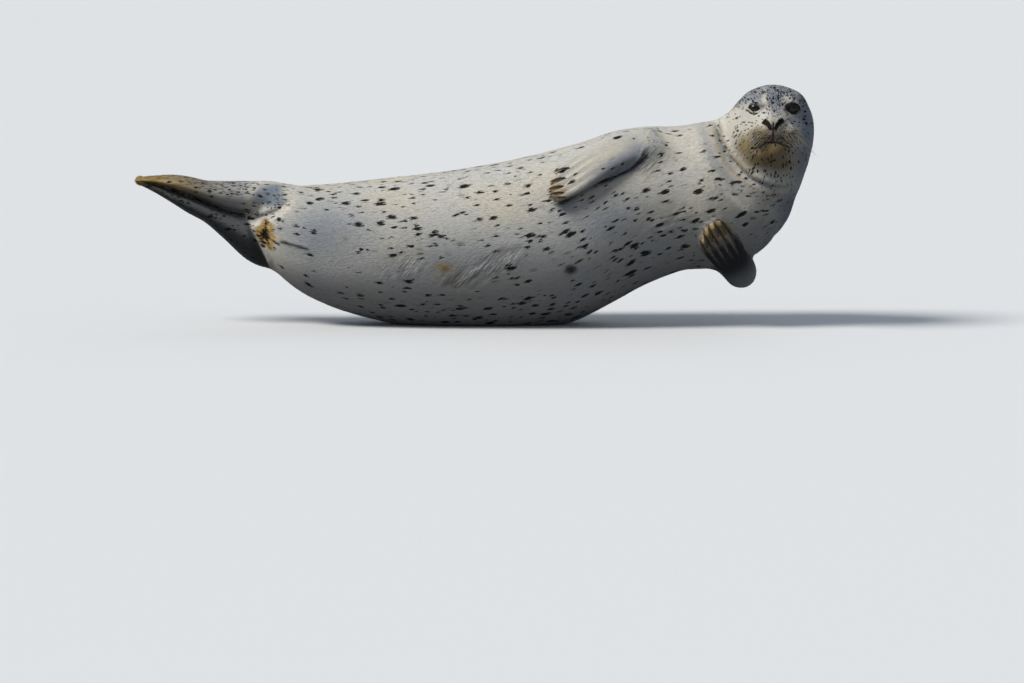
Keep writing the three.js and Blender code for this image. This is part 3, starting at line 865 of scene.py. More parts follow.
def netOf(value, axes):
    # a point in each cell that the surface passes through, and a quad across each edge that it cuts
    inside = value < 0
    n = np.array(value.shape)
    total = sum(cornerOf(inside, corner, n - 1).astype(np.uint8) for corner in corners)
    cells = np.argwhere((total > 0) & (total < 8))
    atCorners = np.stack([value[tuple((cells + corner).T)] for corner in corners], 1)
    place, crossings = np.zeros(cells.shape), np.zeros(len(cells))
    for i, first in enumerate(corners):
        for axis in range(3):
            if first[axis]:
                continue
            second = tuple(1 if k == axis else first[k] for k in range(3))
            a, b = atCorners[:, i], atCorners[:, corners.index(second)]
            cross = (a < 0) != (b < 0)
            place += np.where(cross[:, None], np.array(first), 0)
            place[:, axis] += np.where(cross, a / np.where(cross, a - b, 1), 0)
            crossings += cross
    place = cells + place / crossings[:, None]
    verts = np.stack([np.interp(place[:, k], np.arange(n[k]), axes[k]) for k in range(3)], 1)
    index = np.full(n - 1, -1)
    index[tuple(cells.T)] = np.arange(len(cells))
    quads = []
    for axis, (u, v) in enumerate([(1, 2), (2, 0), (0, 1)]):
        here, there = [slice(None)] * 3, [slice(None)] * 3
        here[axis], there[axis] = slice(0, n[axis] - 1), slice(1, n[axis])
        edge = np.argwhere(inside[tuple(here)] != inside[tuple(there)])
        for side in (u, v):
            edge = edge[(edge[:, side] > 0) & (edge[:, side] < n[side] - 1)]
        ring = []
        for du, dv in ((0, 0), (1, 0), (1, 1), (0, 1)):
            cell = edge.copy()
            cell[:, u] -= du
            cell[:, v] -= dv
            ring.append(index[tuple(cell.T)])
        ring = np.stack(ring, 1)
        outwards = inside[tuple(edge.T)]
        ring[~outwards] = ring[~outwards][:, ::-1]
        quads.append(ring)
    return verts, np.concatenate(quads)


def slope(form, p, step=4e-4):
    result = np.empty_like(p)
    for axis in range(3):
        shift = np.zeros(3)
        shift[axis] = step
        result[:, axis] = (form(p + shift) - form(p - shift)) / (2 * step)
    return result


def settled(form, p, rounds=2):
    # moves points onto the form's surface, and gives the way out of it there
    for _ in range(rounds):
        way = slope(form, p)
        lengthSquared = np.maximum((way * way).sum(1), 0.2)
        p = p - np.clip(form(p) / lengthSquared, -0.003, 0.003)[:, None] * way
    way = slope(form, p)
    return p, way / np.maximum(np.linalg.norm(way, axis=1), 1e-9)[:, None]


report("growing the skin")
readyZooms()
skinPoints, skinQuads = surfaceNet(skinForm, gridAxes((-0.82, -0.24, -0.02), (0.83, 0.24, 0.60)))
skinPoints, skinOut = settled(skinForm, skinPoints)
report("skin settled, %d quads" % len(skinQuads))

rowShift = np.array(sum(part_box("eye_left"), Vector()) / 2) - fromHead(eyePlace)


def newPiece(name, points, faces, material, replaces=()):
    mesh = bpy.data.meshes.new(name)
    points = (np.asarray(points) + rowShift).tolist()
    mesh.from_pydata(points, [], [list(map(int, face)) for face in faces])
    mesh.polygons.foreach_set("use_smooth", np.ones(len(mesh.polygons), bool))
    mesh.materials.append(material)
    piece = bpy.data.objects.new(name, mesh)
    bpy.context.scene.collection.objects.link(piece)
    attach(piece, "root")
    if replaces:
        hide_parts(*replaces)
    return piece


def setAttribute(mesh, name, values):
    kind, field = ("FLOAT_VECTOR", "vector") if values.ndim == 2 else ("FLOAT", "value")
    attribute = mesh.attributes.new(name, kind, "POINT")
    attribute.data.foreach_set(field, values.astype(np.float32).ravel())


# How the coat lies, and where its colours are.


def headShare(p):
    return smoothStep(0.20, 0.13, np.linalg.norm(p - headCentre, axis=1))


def unit(v):
    return v / np.maximum(np.linalg.norm(v, axis=-1, keepdims=True), 1e-9)


def blended(a, b, share):
    # vectors b in place of vectors a, by each point's share
    return a * (1 - share[:, None]) + b * share[:, None]


def blob(a, b, centre, radii):
    return np.exp(-(((a - centre[0]) / radii[0]) ** 2) - ((b - centre[1]) / radii[1]) ** 2)


def most(*shares):
    return np.maximum.reduce(shares)


def blobs(a, b, rows):
    # the strongest of several blobs, each given by its place, its reach and its strength
    return most(*(strength * blob(a, b, (ca, cb), (ra, rb)) for ca, cb, ra, rb, strength in rows))


wrinkleTurn = math.radians(52)  # how steeply the bright lines of parted hair run
hairWrinkles = [  # where the coat parts in bright lines: x, z, reach in x, reach in z, how strongly
    (-0.045, 0.122, 0.028, 0.020, 1.0),
    (-0.005, 0.135, 0.035, 0.022, 1.0),
    (0.040, 0.155, 0.035, 0.024, 1.0),
    (0.085, 0.182, 0.028, 0.022, 0.9),
    (-0.148, 0.150, 0.030, 0.020, 0.9),
    (-0.190, 0.135, 0.030, 0.018, 0.6),
    (0.405, 0.392, 0.022, 0.030, 0.9),
]


def wrinkled(p):
    return blobs(p[:, 0], p[:, 2], hairWrinkles) * smoothStep(0.02, -0.04, p[:, 1])


def hairFlow(p, out):
    # tailwards on the body, away from the nose on the head, and to the tips of the flippers
    x = p[:, 0]
    tilt = (middleAt(x + 0.01) - middleAt(x - 0.01)) / 0.02
    flow = unit(np.stack([-np.ones(len(x)), 0 * x, -tilt - 0.12], 1))
    flow = blended(flow, unit(p - fromHead(headSizes["noseTip"])), headShare(p))
    wrinkleWay = -np.array((math.cos(wrinkleTurn), 0, math.sin(wrinkleTurn)))
    flow = blended(flow, wrinkleWay, 0.9 * wrinkled(p))
    for form, paddle in zip(foreFlippers(p), forePaddles):
        flow = blended(flow, paddle.along, smoothStep(0.010, 0.0, form))
    return unit(flow - (flow * out).sum(1)[:, None] * out)


def coatSpace(p):
    # space squeezed along the hair, so that a round pattern in it comes out long on the seal
    x, y, z = p.T
    squeeze, tilt = 0.48, 1.25
    body = np.stack([x * squeeze, y, z - tilt * middleAt(x)], 1)
    q = inHead(p)
    across = np.stack([q[:, 1], q[:, 2] + 0.012], 1)
    radius = np.maximum(np.linalg.norm(across, axis=1), 0.008)
    across *= np.sqrt(0.08 / radius)[:, None]
    polar = np.stack([q[:, 0] * squeeze, across[:, 0], across[:, 1]], 1) @ headAxes.T
    headX, headY, headZ = headCentre
    middle = np.array((headX * squeeze, headY, headZ - tilt * middleAt(headX)))
    onHead = smoothStep(0.21, 0.14, np.linalg.norm(p - headCentre, axis=1))
    space = blended(body, polar + middle, onHead)
    for form, paddle in zip(foreFlippers(p), forePaddles):
        along = ((p - paddle.root) @ paddle.along)[:, None] * paddle.along
        space = blended(space, p - along * (1 - squeeze), smoothStep(0.010, 0.0, form))
    return space


class Regions:
    # where points are on the seal: distances in metres, and shares of each region from 0 to 1
    def __init__(self, p):
        self.p = p
        self.x, self.y, self.z = p.T
        self.belly = smoothStep(0.02, -0.04, self.y)
        self.inFront = smoothStep(0.0, -0.02, self.y)
        self.creaseSide, self.onCrease = sideOf(p, crease["points"]), creaseFade(p)
        self.hipSide = sideOf(p, hipFold["points"])
        self.rootSide = sideOf(p, rootFold["points"])
        self.findFlippers(p)
        self.findFace(p)
        self.findVent()

    def findFlippers(self, p):
        self.right, left = foreFlippers(p)
        self.onRight, self.onLeft = (smoothStep(0.006, -0.001, form) for form in (self.right, left))
        self.rightS, self.rightU, _ = foreRightPaddle.place(p)
        self.leftS, leftU, _ = foreLeftPaddle.place(p)
        self.leftWeb = webbing(leftU)
        hindR, hindL = hindFlippers(p)
        behind, isUpper = smoothStep(-0.50, -0.56, self.x), smoothStep(0.004, -0.004, hindR - hindL)
        isLower = smoothStep(0.004, -0.004, hindL - hindR)
        self.upperFan, self.lowerFan = behind * isUpper, behind * isLower
        bellySide = smoothStep(0.02, -0.01, self.y)
        pastHip = bellySide * smoothStep(0.003, -0.003, self.hipSide)
        pastHip += (1 - bellySide) * smoothStep(-0.50, -0.54, self.x)
        self.wholeLower = isLower * smoothStep(-0.46, -0.49, self.x) * pastHip
        self.standsOff = 0.010 * smoothStep(0.17, 0.26, self.rightS)  # the tip doesn't touch the body
        # painted shadow: the body just below the lower edge of the right fore flipper
        under = smoothStep(0.0005, 0.003, self.right) * smoothStep(-0.5, -0.85, self.rightU)
        under *= smoothStep(0.02, 0.06, self.rightS) * smoothStep(0.29, 0.27, self.rightS)
        self.shadowUnderFlipper = under * smoothStep(0.018, 0.005, self.right - self.standsOff)

    def findFace(self, p):
        self.q = inHead(p)
        self.ahead, self.aside, self.up = self.q.T
        self.outwards = np.abs(self.aside)
        self.face = headShare(p)
        facing = smoothStep(0.0, 0.03, self.ahead)
        beforeNape = smoothStep(-0.095, -0.020, self.ahead)
        self.crown = smoothStep(0.022, 0.050, self.up) * (0.3 + 0.7 * beforeNape)
        self.bridge = facing * blob(self.aside, self.up, (0.004, 0.026), (0.019, 0.030))
        self.brow = facing * blobs(self.aside, self.up, paleBrows)
        self.besideEye = facing * blob(self.aside, self.up, (-0.050, 0.040), (0.020, 0.013))

    def findVent(self):
        dx, dz = self.x - vent["centre"][0], self.z - vent["centre"][1]
        spin = np.arctan2(dz, dx)
        self.ventAway = np.hypot(dx * 1.25, dz) / vent["radius"]
        self.ventAway *= 1 + 0.16 * np.sin(3 * spin + 1) + 0.12 * np.sin(7 * spin)
        self.ventRays = 0.5 + 0.5 * np.cos(vent["count"] * spin + 1.6 * np.sin(2 * spin + 0.5))
        self.onVent = smoothStep(1.08, 0.84, self.ventAway) * smoothStep(-0.01, -0.03, self.y)
        self.onVent *= smoothStep(0.001, 0.005, self.hipSide)


spotPlaces = [  # x, z, reach in x, reach in z, how many more or fewer spots
    (0.38, 0.25, 0.18, 0.09, 0.90),
    (0.25, 0.17, 0.10, 0.05, 0.40),
    (0.58, 0.34, 0.12, 0.09, 0.35),
    (0.12, 0.04, 0.32, 0.045, 0.60),
    (-0.16, 0.25, 0.11, 0.05, 0.45),
    (-0.33, 0.31, 0.14, 0.03, 0.45),
    (0.03, 0.33, 0.14, 0.03, 0.15),
    (-0.36, 0.16, 0.14, 0.07, -0.32),
    (0.00, 0.15, 0.16, 0.05, -0.28),
    (0.72, 0.33, 0.06, 0.10, 0.35),
]
spotless = [(-0.478, 0.302), (-0.068, 0.146), (0.224, 0.143), (0.155, 0.325)]
paleBrows = [(0.034, 0.047, 0.014, 0.009, 1), (-0.022, 0.046, 0.007, 0.020, 1)]
faceStains = [  # aside, up, reach aside, reach up, how strong
    (-0.026, -0.096, 0.044, 0.020, 0.90),
    (-0.004, -0.080, 0.046, 0.018, 0.86),
    (-0.064, -0.062, 0.022, 0.022, 0.90),
    (-0.034, -0.050, 0.030, 0.022, 0.88),
    (0.012, -0.102, 0.036, 0.020, 0.78),
    (0.026, -0.050, 0.028, 0.020, 0.75),
]
mouthStains = [(-0.060, -0.064, 0.020, 0.020, 0.65), (-0.014, -0.078, 0.038, 0.016, 0.40)]
# painted shade on the lower belly, the chest, the root of the right fore flipper and the rump
bellyShades = [  # x, z, reach in x, reach in z, how strong
    (-0.02, 0.16, 0.26, 0.06, 0.45),
    (0.32, 0.26, 0.12, 0.07, 0.58),
    (0.385, 0.415, 0.034, 0.026, 0.85),
    (-0.35, 0.225, 0.12, 0.075, 0.72),
]


def spotMask(at):
    spots = np.full(len(at.p), 0.55)
    for cx, cz, rx, rz, amount in spotPlaces:
        spots += amount * blob(at.x, at.z, (cx, cz), (rx, rz)) * (0.4 + 0.6 * at.belly)
    spots += 0.28 * smoothStep(0.0, 0.10, at.y)
    spots *= (1 - 0.75 * at.onRight) * (1 - 0.9 * at.onLeft)
    spots *= 1 - 0.7 * most(at.upperFan, at.lowerFan)
    aroundMouth = smoothStep(0.055, 0.040, at.outwards) * smoothStep(-0.018, -0.030, at.up)
    spots *= (1 - 0.8 * at.face) * (1 - 0.8 * at.face * aroundMouth)
    spots *= 1 - 0.8 * at.onCrease * smoothStep(0.016, 0.006, np.abs(at.creaseSide + 0.004))
    for place in spotless:
        spots *= 1 - 0.95 * at.inFront * blob(at.x, at.z, place, (0.040, 0.026))
    return spots


def fleckMask(at):
    pads = blob(at.outwards, at.up, (0.030, -0.046), (0.020, 0.016)) * smoothStep(0.05, 0.08, at.ahead)
    cheek = blob(at.outwards, at.up, (0.074, -0.005), (0.022, 0.045))
    onFace = np.clip(at.crown + at.bridge + 0.4 * pads + 0.25 * cheek - 0.7 * at.brow + 0.18, 0, 1)
    onTop = smoothStep(0.0, 0.012, at.z - hindRightFan.height(at.x)) * smoothStep(-0.80, -0.74, at.x)
    onChin = smoothStep(-0.066, -0.080, at.up) * smoothStep(0.07, 0.04, np.abs(at.aside + 0.01))
    return most(
        at.face * onFace * (1 - 0.9 * at.besideEye),
        0.85 * at.upperFan * onTop,
        0.35 * at.lowerFan,
        0.45 * at.face * onChin,
        0.45 * at.belly * blob(at.x, at.z, (-0.480, 0.304), (0.040, 0.028)),
    )


def dotMask(at):
    dots = np.clip(1.8 * blob(at.outwards, at.up, (0.032, -0.046), (0.028, 0.021)), 0, 1)
    return at.face * dots * smoothStep(0.03, 0.06, at.ahead)


def ochreMask(at):
    upperTip = 0.85 * at.upperFan * smoothStep(-0.62, -0.76, at.x)
    lowerTip = 0.65 * at.lowerFan * smoothStep(-0.72, -0.78, at.x)
    return most(
        upperTip + lowerTip,
        at.onRight * smoothStep(0.238, 0.268, at.rightS) * (0.35 + 0.65 * webbing(at.rightU)),
        at.onLeft * smoothStep(0.112, 0.138, at.leftS) * (0.55 + 0.45 * at.leftWeb),
        0.8 * at.onLeft * smoothStep(0.05, 0.12, at.leftS) * smoothStep(0.70, 0.98, at.leftWeb),
        at.onVent,
        at.belly * blob(at.x, at.z, (-0.070, 0.148), (0.021, 0.010)),
        0.30 * at.onCrease * ridge(at.creaseSide + 0.021, 0.005),
        0.50 * at.onCrease * ridge(at.creaseSide + 0.0005, 0.0018),
        at.face * blobs(at.aside, at.up, mouthStains),
    )


def oliveMask(at):
    olive = 0.65 * at.upperFan * smoothStep(-0.54, -0.68, at.x)
    ahead = smoothStep(-0.02, 0.01, at.ahead)
    for aside, up, wide, high, amount in faceStains:
        stain = 1.35 * ahead * blob(at.aside, at.up, (aside, up), (wide, high))
        olive = most(olive, amount * at.face * np.clip(stain, 0, 1))
    return olive


# Painted shade in a cool blue-grey: on the lower hind flipper, the lower belly and flanks, the chest, the
# rump, the lower edge and root of the right fore flipper and the body below it, the crease behind the jaw
# and the band beyond it, the left side of the face and the throat. Besides, a darker crown and bridge, a
# grey cast on the upper hind flipper and a blue-grey patch on the hip.
def shadeMask(at):
    dx, dz = (at.x + 0.480) / 0.038, (at.z - 0.304) / 0.025
    spin = np.arctan2(dz, dx)
    hipPatch = np.hypot(dx, dz) * (1 + 0.14 * np.sin(3 * spin + 1) + 0.09 * np.sin(5 * spin))
    lowerEdge = smoothStep(0.0, -0.85, at.rightU) * smoothStep(0.27, 0.13, at.rightS)
    return most(
        0.6 * at.wholeLower,
        at.belly * blobs(at.x, at.z, bellyShades),
        0.80 * at.onRight * lowerEdge,
        0.9 * at.shadowUnderFlipper,
        0.55 * at.belly * smoothStep(0.03, -0.15, at.z - middleAt(at.x)),
        0.95 * at.inFront * smoothStep(1.40, 0.65, hipPatch),
        0.40 * at.onCrease * ridge(at.creaseSide + 0.008, 0.008),
        0.40 * at.onCrease * ridge(at.creaseSide + 0.040, 0.012),
        0.88 * at.face * smoothStep(0.030, 0.075, at.aside),
        at.face * np.clip(0.78 * at.crown + 0.72 * at.bridge - 0.6 * at.brow, 0, 1),
        0.95 * smoothStep(0.660, 0.745, at.x) * (1 - at.face),
        0.55 * at.upperFan,
    )


# Pale marks: the pale brows, a pale band beside the root of the upper hind flipper and a pale line along
# the hip fold; the pale rim on the roll behind the jaw is painted highlight.
def creamAndHighlightMask(at):
    return most(
        0.75 * at.onCrease * ridge(at.creaseSide - 0.006, 0.004),
        0.7 * at.face * at.brow,
        0.6 * rootFade(at.p) * ridge(at.rootSide + 0.016, 0.008),
        0.7 * hipFade(at.p) * ridge(at.hipSide - 0.006, 0.0025),
    )


# Dark skin and painted shade: the vent, its line, the navel and a small belly spot are the seal's own
# marks; the lines under the right fore flipper, in the hip fold and under the root of the upper hind
# flipper are painted shadow; the lower hind flipper and the left fore hand are dark skin deepened by
# painted shade.
def darkSkinAndShadeMask(at):
    onTop = smoothStep(-0.004, 0.016, at.z - hindLeftFan.height(at.x))
    hand = smoothStep(-0.03, 0.05, at.leftS) * smoothStep(0.140, 0.105, at.leftS)
    hand *= 1 - 0.8 * smoothStep(0.06, 0.12, at.leftS) * smoothStep(0.75, 0.98, at.leftWeb)
    hand = most(hand, 0.9 * smoothStep(0.10, 0.12, at.leftS) * smoothStep(0.55, 0.15, at.leftWeb))
    ventDark = 0.75 * at.ventRays + 1.2 * smoothStep(0.62, 0.15, at.ventAway)
    navel = np.hypot((at.x - 0.224) / 0.017, (at.z - 0.143) / 0.014)
    ventLine = nearOnly(at.p, *ventLineBox, lambda r: pathDistance(r, ventPath, np.zeros(3)), 1.0)
    return most(
        # the lower hind flipper: dark skin deepened by painted shade, less dark along its top as a
        # painted highlight
        0.90 * at.wholeLower * (1 - 0.28 * onTop),
        0.98 * at.shadowUnderFlipper * smoothStep(0.0100, 0.0050, at.right - at.standsOff),
        # the left fore hand: dark skin deepened by painted shade
        0.95 * at.onLeft * hand,
        at.onVent * smoothStep(0.50, 0.90, ventDark),
        0.92 * at.belly * smoothStep(1.15, 0.45, navel),
        0.5 * at.belly * blob(at.x, at.z, (-0.068, 0.146), (0.005, 0.005)),
        smoothStep(0.0060, 0.0020, ventLine),
        # painted shade in the hip fold, and a painted shadow line under the root of the upper hind
        # flipper
        0.8 * hipFade(at.p) * ridge(at.hipSide + 0.004, 0.004),
        0.6 * rootFade(at.p) * ridge(at.rootSide + 0.002, 0.0025),
    )


def eyeMasks(q):
    # dark: the lids and what is round them, with a wide socket round the left eye that is partly painted
    # shade; bare: the rims; pale: a crescent under the right eye
    m = folded(q)
    gap, eyeball = lidGap(m), np.abs(eyeballGap(m))
    across, over, _ = ((m - eyePlace) @ eyeFrame).T
    nearEye, below = smoothStep(0.012, 0.006, eyeball), smoothStep(0.001, -0.003, over)
    isRight = smoothStep(0.0, -0.02, q[:, 1])
    rim = smoothStep(0.0026 - 0.0012 * below, 0.0004, gap) * nearEye
    smudge = blob(across, over, (-0.020, 0.003), (0.012, 0.009)) * smoothStep(0.045, 0.03, eyeball)
    above = smoothStep(0.0062, 0.0038, gap) * smoothStep(0.0, 0.004, over)
    above *= nearEye * smoothStep(0.018, 0.011, across)
    under = ridge(gap - 0.0058, 0.0015) * below * nearEye
    # a wide dark socket round the left eye, partly painted shade
    socket = smoothStep(1.12, 0.86, np.hypot((across + 0.003) / 0.0215, (over + 0.001) / 0.0145))
    socket = most(socket, 0.9 * blob(across, over, (-0.022, -0.007), (0.009, 0.006)))
    socket *= smoothStep(0.026, 0.014, eyeball)
    dark = most(rim, isRight * most(0.8 * smudge, 0.75 * above, 0.8 * under), (1 - isRight) * socket)
    return dark, rim, 0.8 * ridge(gap - 0.0029, 0.0014) * below * nearEye * isRight


def mouthMasks(q):
    # dark: nostrils, groove and lips; bare: nose and lips; tan: the skin beside them
    m = ofMuzzle(q)
    slits, groove, lips = nostrilAway(q), grooveAway(q), lipsAway(q)
    nose = blob(m[:, 1], m[:, 2], (0, -0.022), (0.007, 0.012)) * smoothStep(0.09, 0.105, q[:, 0])
    dark = most(smoothStep(0.0034, 0.0022, slits), 0.55 * nose, smoothStep(0.0019, 0.0006, groove))
    dark = most(dark, 0.95 * smoothStep(0.0021, 0.0006, lips))
    belowNose = smoothStep(0.085, 0.10, q[:, 0]) * smoothStep(-0.026, -0.034, q[:, 2])
    onLips = smoothStep(0.007, 0.002, lips) * smoothStep(0.0, -0.004, m[:, 2] - lipLine(m[:, 1]))
    tan = most(0.55 * smoothStep(0.007, 0.003, groove) * belowNose, 0.4 * onLips)
    return dark, most(smoothStep(0.002, 0.0005, lips), nose), tan


def coatMasks(p):
    at = Regions(p)
    dark, creamAndHighlight = darkSkinAndShadeMask(at), creamAndHighlightMask(at)
    bare, tan = np.zeros(len(p)), np.zeros(len(p))
    k = np.flatnonzero(inBox(p, *headBox))
    eyeDark, eyeBare, crescent = eyeMasks(at.q[k])
    mouthDark, mouthBare, tan[k] = mouthMasks(at.q[k])
    dark[k] = most(dark[k], eyeDark, mouthDark)
    bare[k] = most(eyeBare, mouthBare)
    creamAndHighlight[k] = most(creamAndHighlight[k], crescent)
    masks = {
        "spotAmount": spotMask(at),
        "ochre": ochreMask(at),
        "olive": oliveMask(at),
        "creamAndHighlight": creamAndHighlight,
        "shade": shadeMask(at),
        "darkSkinAndShade": dark,
        "bare": bare,
    }
    masks = {name: np.clip(values, 0, 1) for name, values in masks.items()}
    masks.update({"fleckAmount": fleckMask(at), "padDots": dotMask(at)})
    masks.update({"paleHair": wrinkled(p), "tanSkin": tan})
    return masks


# Materials.


def connect(tree, socket, value):
    # links the socket to another one, or sets it to a plain value
    if isinstance(value, bpy.types.NodeSocket):
        tree.links.new(value, socket)
    else:
        socket.default_value = value


def addNode(tree, kind, inputs=None, **settings):
    node = tree.nodes.new(kind)
    for key, value in settings.items():
        setattr(node, key, value)
    for key, value in (inputs or {}).items():
        connect(tree, node.inputs[key], value)
    return node


def maths(tree, operation, *values):
    return addNode(tree, "ShaderNodeMath", dict(enumerate(values)), operation=operation).outputs[0]


def vectorMaths(tree, operation, *values):
    node = addNode(tree, "ShaderNodeVectorMath", dict(enumerate(values)), operation=operation)
    return node.outputs[0]


def mixColour(tree, share, a, b, blend="MIX"):
    node = addNode(tree, "ShaderNodeMix", {0: share}, data_type="RGBA", blend_type=blend)
    for key, value in ((6, a), (7, b)):
        connect(tree, node.inputs[key], (*value, 1) if isinstance(value, tuple) else value)
    return node.outputs[2]


def ramp(tree, value, low, high):
    # 0 at low and 1 at high, eased; high may be less than low
    inputs = {"Value": value, "From Min": low, "From Max": high}
    node = addNode(tree, "ShaderNodeMapRange", inputs, interpolation_type="SMOOTHSTEP")
    return node.outputs["Result"]


def ranged(tree, value, low, high):
    # low where the value is 0 and high where it is 1
    inputs = {"Value": value, "To Min": low, "To Max": high}
    return addNode(tree, "ShaderNodeMapRange", inputs).outputs["Result"]


def noise(tree, space, scale, detail, roughness=0.5, output="Fac"):
    inputs = {"Vector": space, "Scale": scale, "Detail": detail, "Roughness": roughness}
    return addNode(tree, "ShaderNodeTexNoise", inputs).outputs[output]


def attributeOf(tree, name, output="Fac"):
    return addNode(tree, "ShaderNodeAttribute", attribute_name=name).outputs[output]


def objectPlace(tree):
    return addNode(tree, "ShaderNodeTexCoord").outputs["Object"]


def newMaterial(name, look):
    # look: inputs of the material's shader, by their names
    material = bpy.data.materials.new(name)
    material.use_nodes = True
    shader = material.node_tree.nodes["Principled BSDF"]
    for key, value in look.items():
        shader.inputs[key].default_value = value
    return material, material.node_tree, shader


def bumped(tree, shader, height, strength, distance):
    inputs = {"Height": height, "Strength": strength, "Distance": distance}
    bump = addNode(tree, "ShaderNodeBump", inputs)
    tree.links.new(bump.outputs["Normal"], shader.inputs["Normal"])


coatColours = {  # linear light
    "silver": (0.64, 0.635, 0.61),
    "creamCoat": (0.70, 0.66, 0.56),
    "mottle": (0.56, 0.555, 0.535),
    # a cool blue-grey for painted shade
    "coolShade": (0.175, 0.22, 0.30),
    "ochre": (0.50, 0.325, 0.085),
    "olive": (0.20, 0.145, 0.052),
    "rust": (0.15, 0.070, 0.018),
    # pale cream for pale marks, and for a painted highlight on the roll behind the jaw
    "creamAndHighlight": (0.80, 0.76, 0.66),
    # near black, for dark skin and for painted shadow and shade
    "darkSkinAndShade": (0.005, 0.005, 0.006),
    "tanSkin": (0.26, 0.135, 0.07),
    "paleHair": (0.88, 0.87, 0.82),
    "spot": (0.006, 0.006, 0.008),
    "faintSpot": (0.17, 0.155, 0.145),
    "streakDark": (0.50, 0.48, 0.46),
    "streakPale": (1, 1, 1),
}
streakStrength = 0.14
spotWobbles = [(40, 0.010), (150, 0.0035)]  # scale, and how far the edges of spots are pushed about
spotLayers = [
    # attribute, scale, share of cells with a spot (times, plus), least and most radius in cells, softness
    ("spotAmount", 54, (0.85, 0), (0.19, 0.40), 0.30),
    ("spotAmount", 84, (0.72, 0), (0.20, 0.38), 0.32),
    ("fleckAmount", 185, (1, 0), (0.30, 0.56), 0.45),
    ("fleckAmount", 120, (0.95, 0), (0.26, 0.50), 0.4),
    ("padDots", 270, (1, 0), (0.34, 0.60), 0.4),
]
faintLayer = ("spotAmount", 61, (0.5, 0.05), (0.20, 0.40), 0.8)
lineStretch = (14, 60, 200)  # how the bright lines of parted hair are drawn out
coatNoises = {  # the space it is in, scale, detail, roughness
    "clouds": ("coat", 9, 4.0, 0.6),
    "grain": ("coat", 150, 3.0, 0.65),
    "streaks": ("drawn", 260, 3.0, 0.6),
    "stripes": ("drawn", 110, 2.0, 0.5),
    "lines": ("parted", 1.0, 2.0, 0.5),
}
paints = [
    # attribute, texture that breaks it up, from where to where, how strongly, colour; later rows cover
    (None, "clouds", (0.38, 0.66), 1, "creamCoat"),
    (None, "grain", (0.52, 0.75), 1, "mottle"),
    # painted shade
    ("shade", None, None, 0.90, "coolShade"),
    # pale marks, and the painted highlight on the roll behind the jaw
    ("creamAndHighlight", None, None, 1, "creamAndHighlight"),
    ("olive", "grain", (0.0, 0.40), 1, "olive"),
    ("ochre", "grain", (0.2, 0.5), 1, "ochre"),
    ("ochre", "streaks", (0.55, 0.72), 0.8, "rust"),
    ("ochre", "stripes", (0.54, 0.66), 0.45, "creamCoat"),
    ("ochre", "stripes", (0.44, 0.34), 0.6, "faintSpot"),
    ("tanSkin", None, None, 1, "tanSkin"),
    ("faintSpots", None, None, 0.55, "faintSpot"),
    # dark lines between the bright ones: painted shade in the grooves of the wrinkles
    ("paleHair", "lines", (0.46, 0.36), 0.65, "faintSpot"),
    ("paleHair", "lines", (0.50, 0.60), 0.95, "paleHair"),
    ("mottling", "streaks", (0.46, 0.60), 0.9, "faintSpot"),
    ("marks", "streaks", (0.02, 0.28), 0.97, "spot"),
    # dark skin, together with painted shadow and shade
    ("darkSkinAndShade", None, None, 0.98, "darkSkinAndShade"),
]


def spotLayer(group, space, attribute, scale, share, radii, softness):
    # round spots, each in its own cell, with chance radii
    inputs = {"Vector": space, "Scale": scale, "Randomness": 1.0}
    cells = addNode(group, "ShaderNodeTexVoronoi", inputs)
    chances = addNode(group, "ShaderNodeSeparateColor", {"Color": cells.outputs["Color"]}).outputs
    amount = maths(group, "MULTIPLY_ADD", attributeOf(group, attribute), *share)
    there = maths(group, "LESS_THAN", chances["Red"], amount)
    least, greatest = radii
    reach = maths(group, "MULTIPLY_ADD", chances["Green"], greatest - least, least)
    inner = maths(group, "MULTIPLY", reach, 1 - softness)
    return maths(group, "MULTIPLY", ramp(group, cells.outputs["Distance"], reach, inner), there)


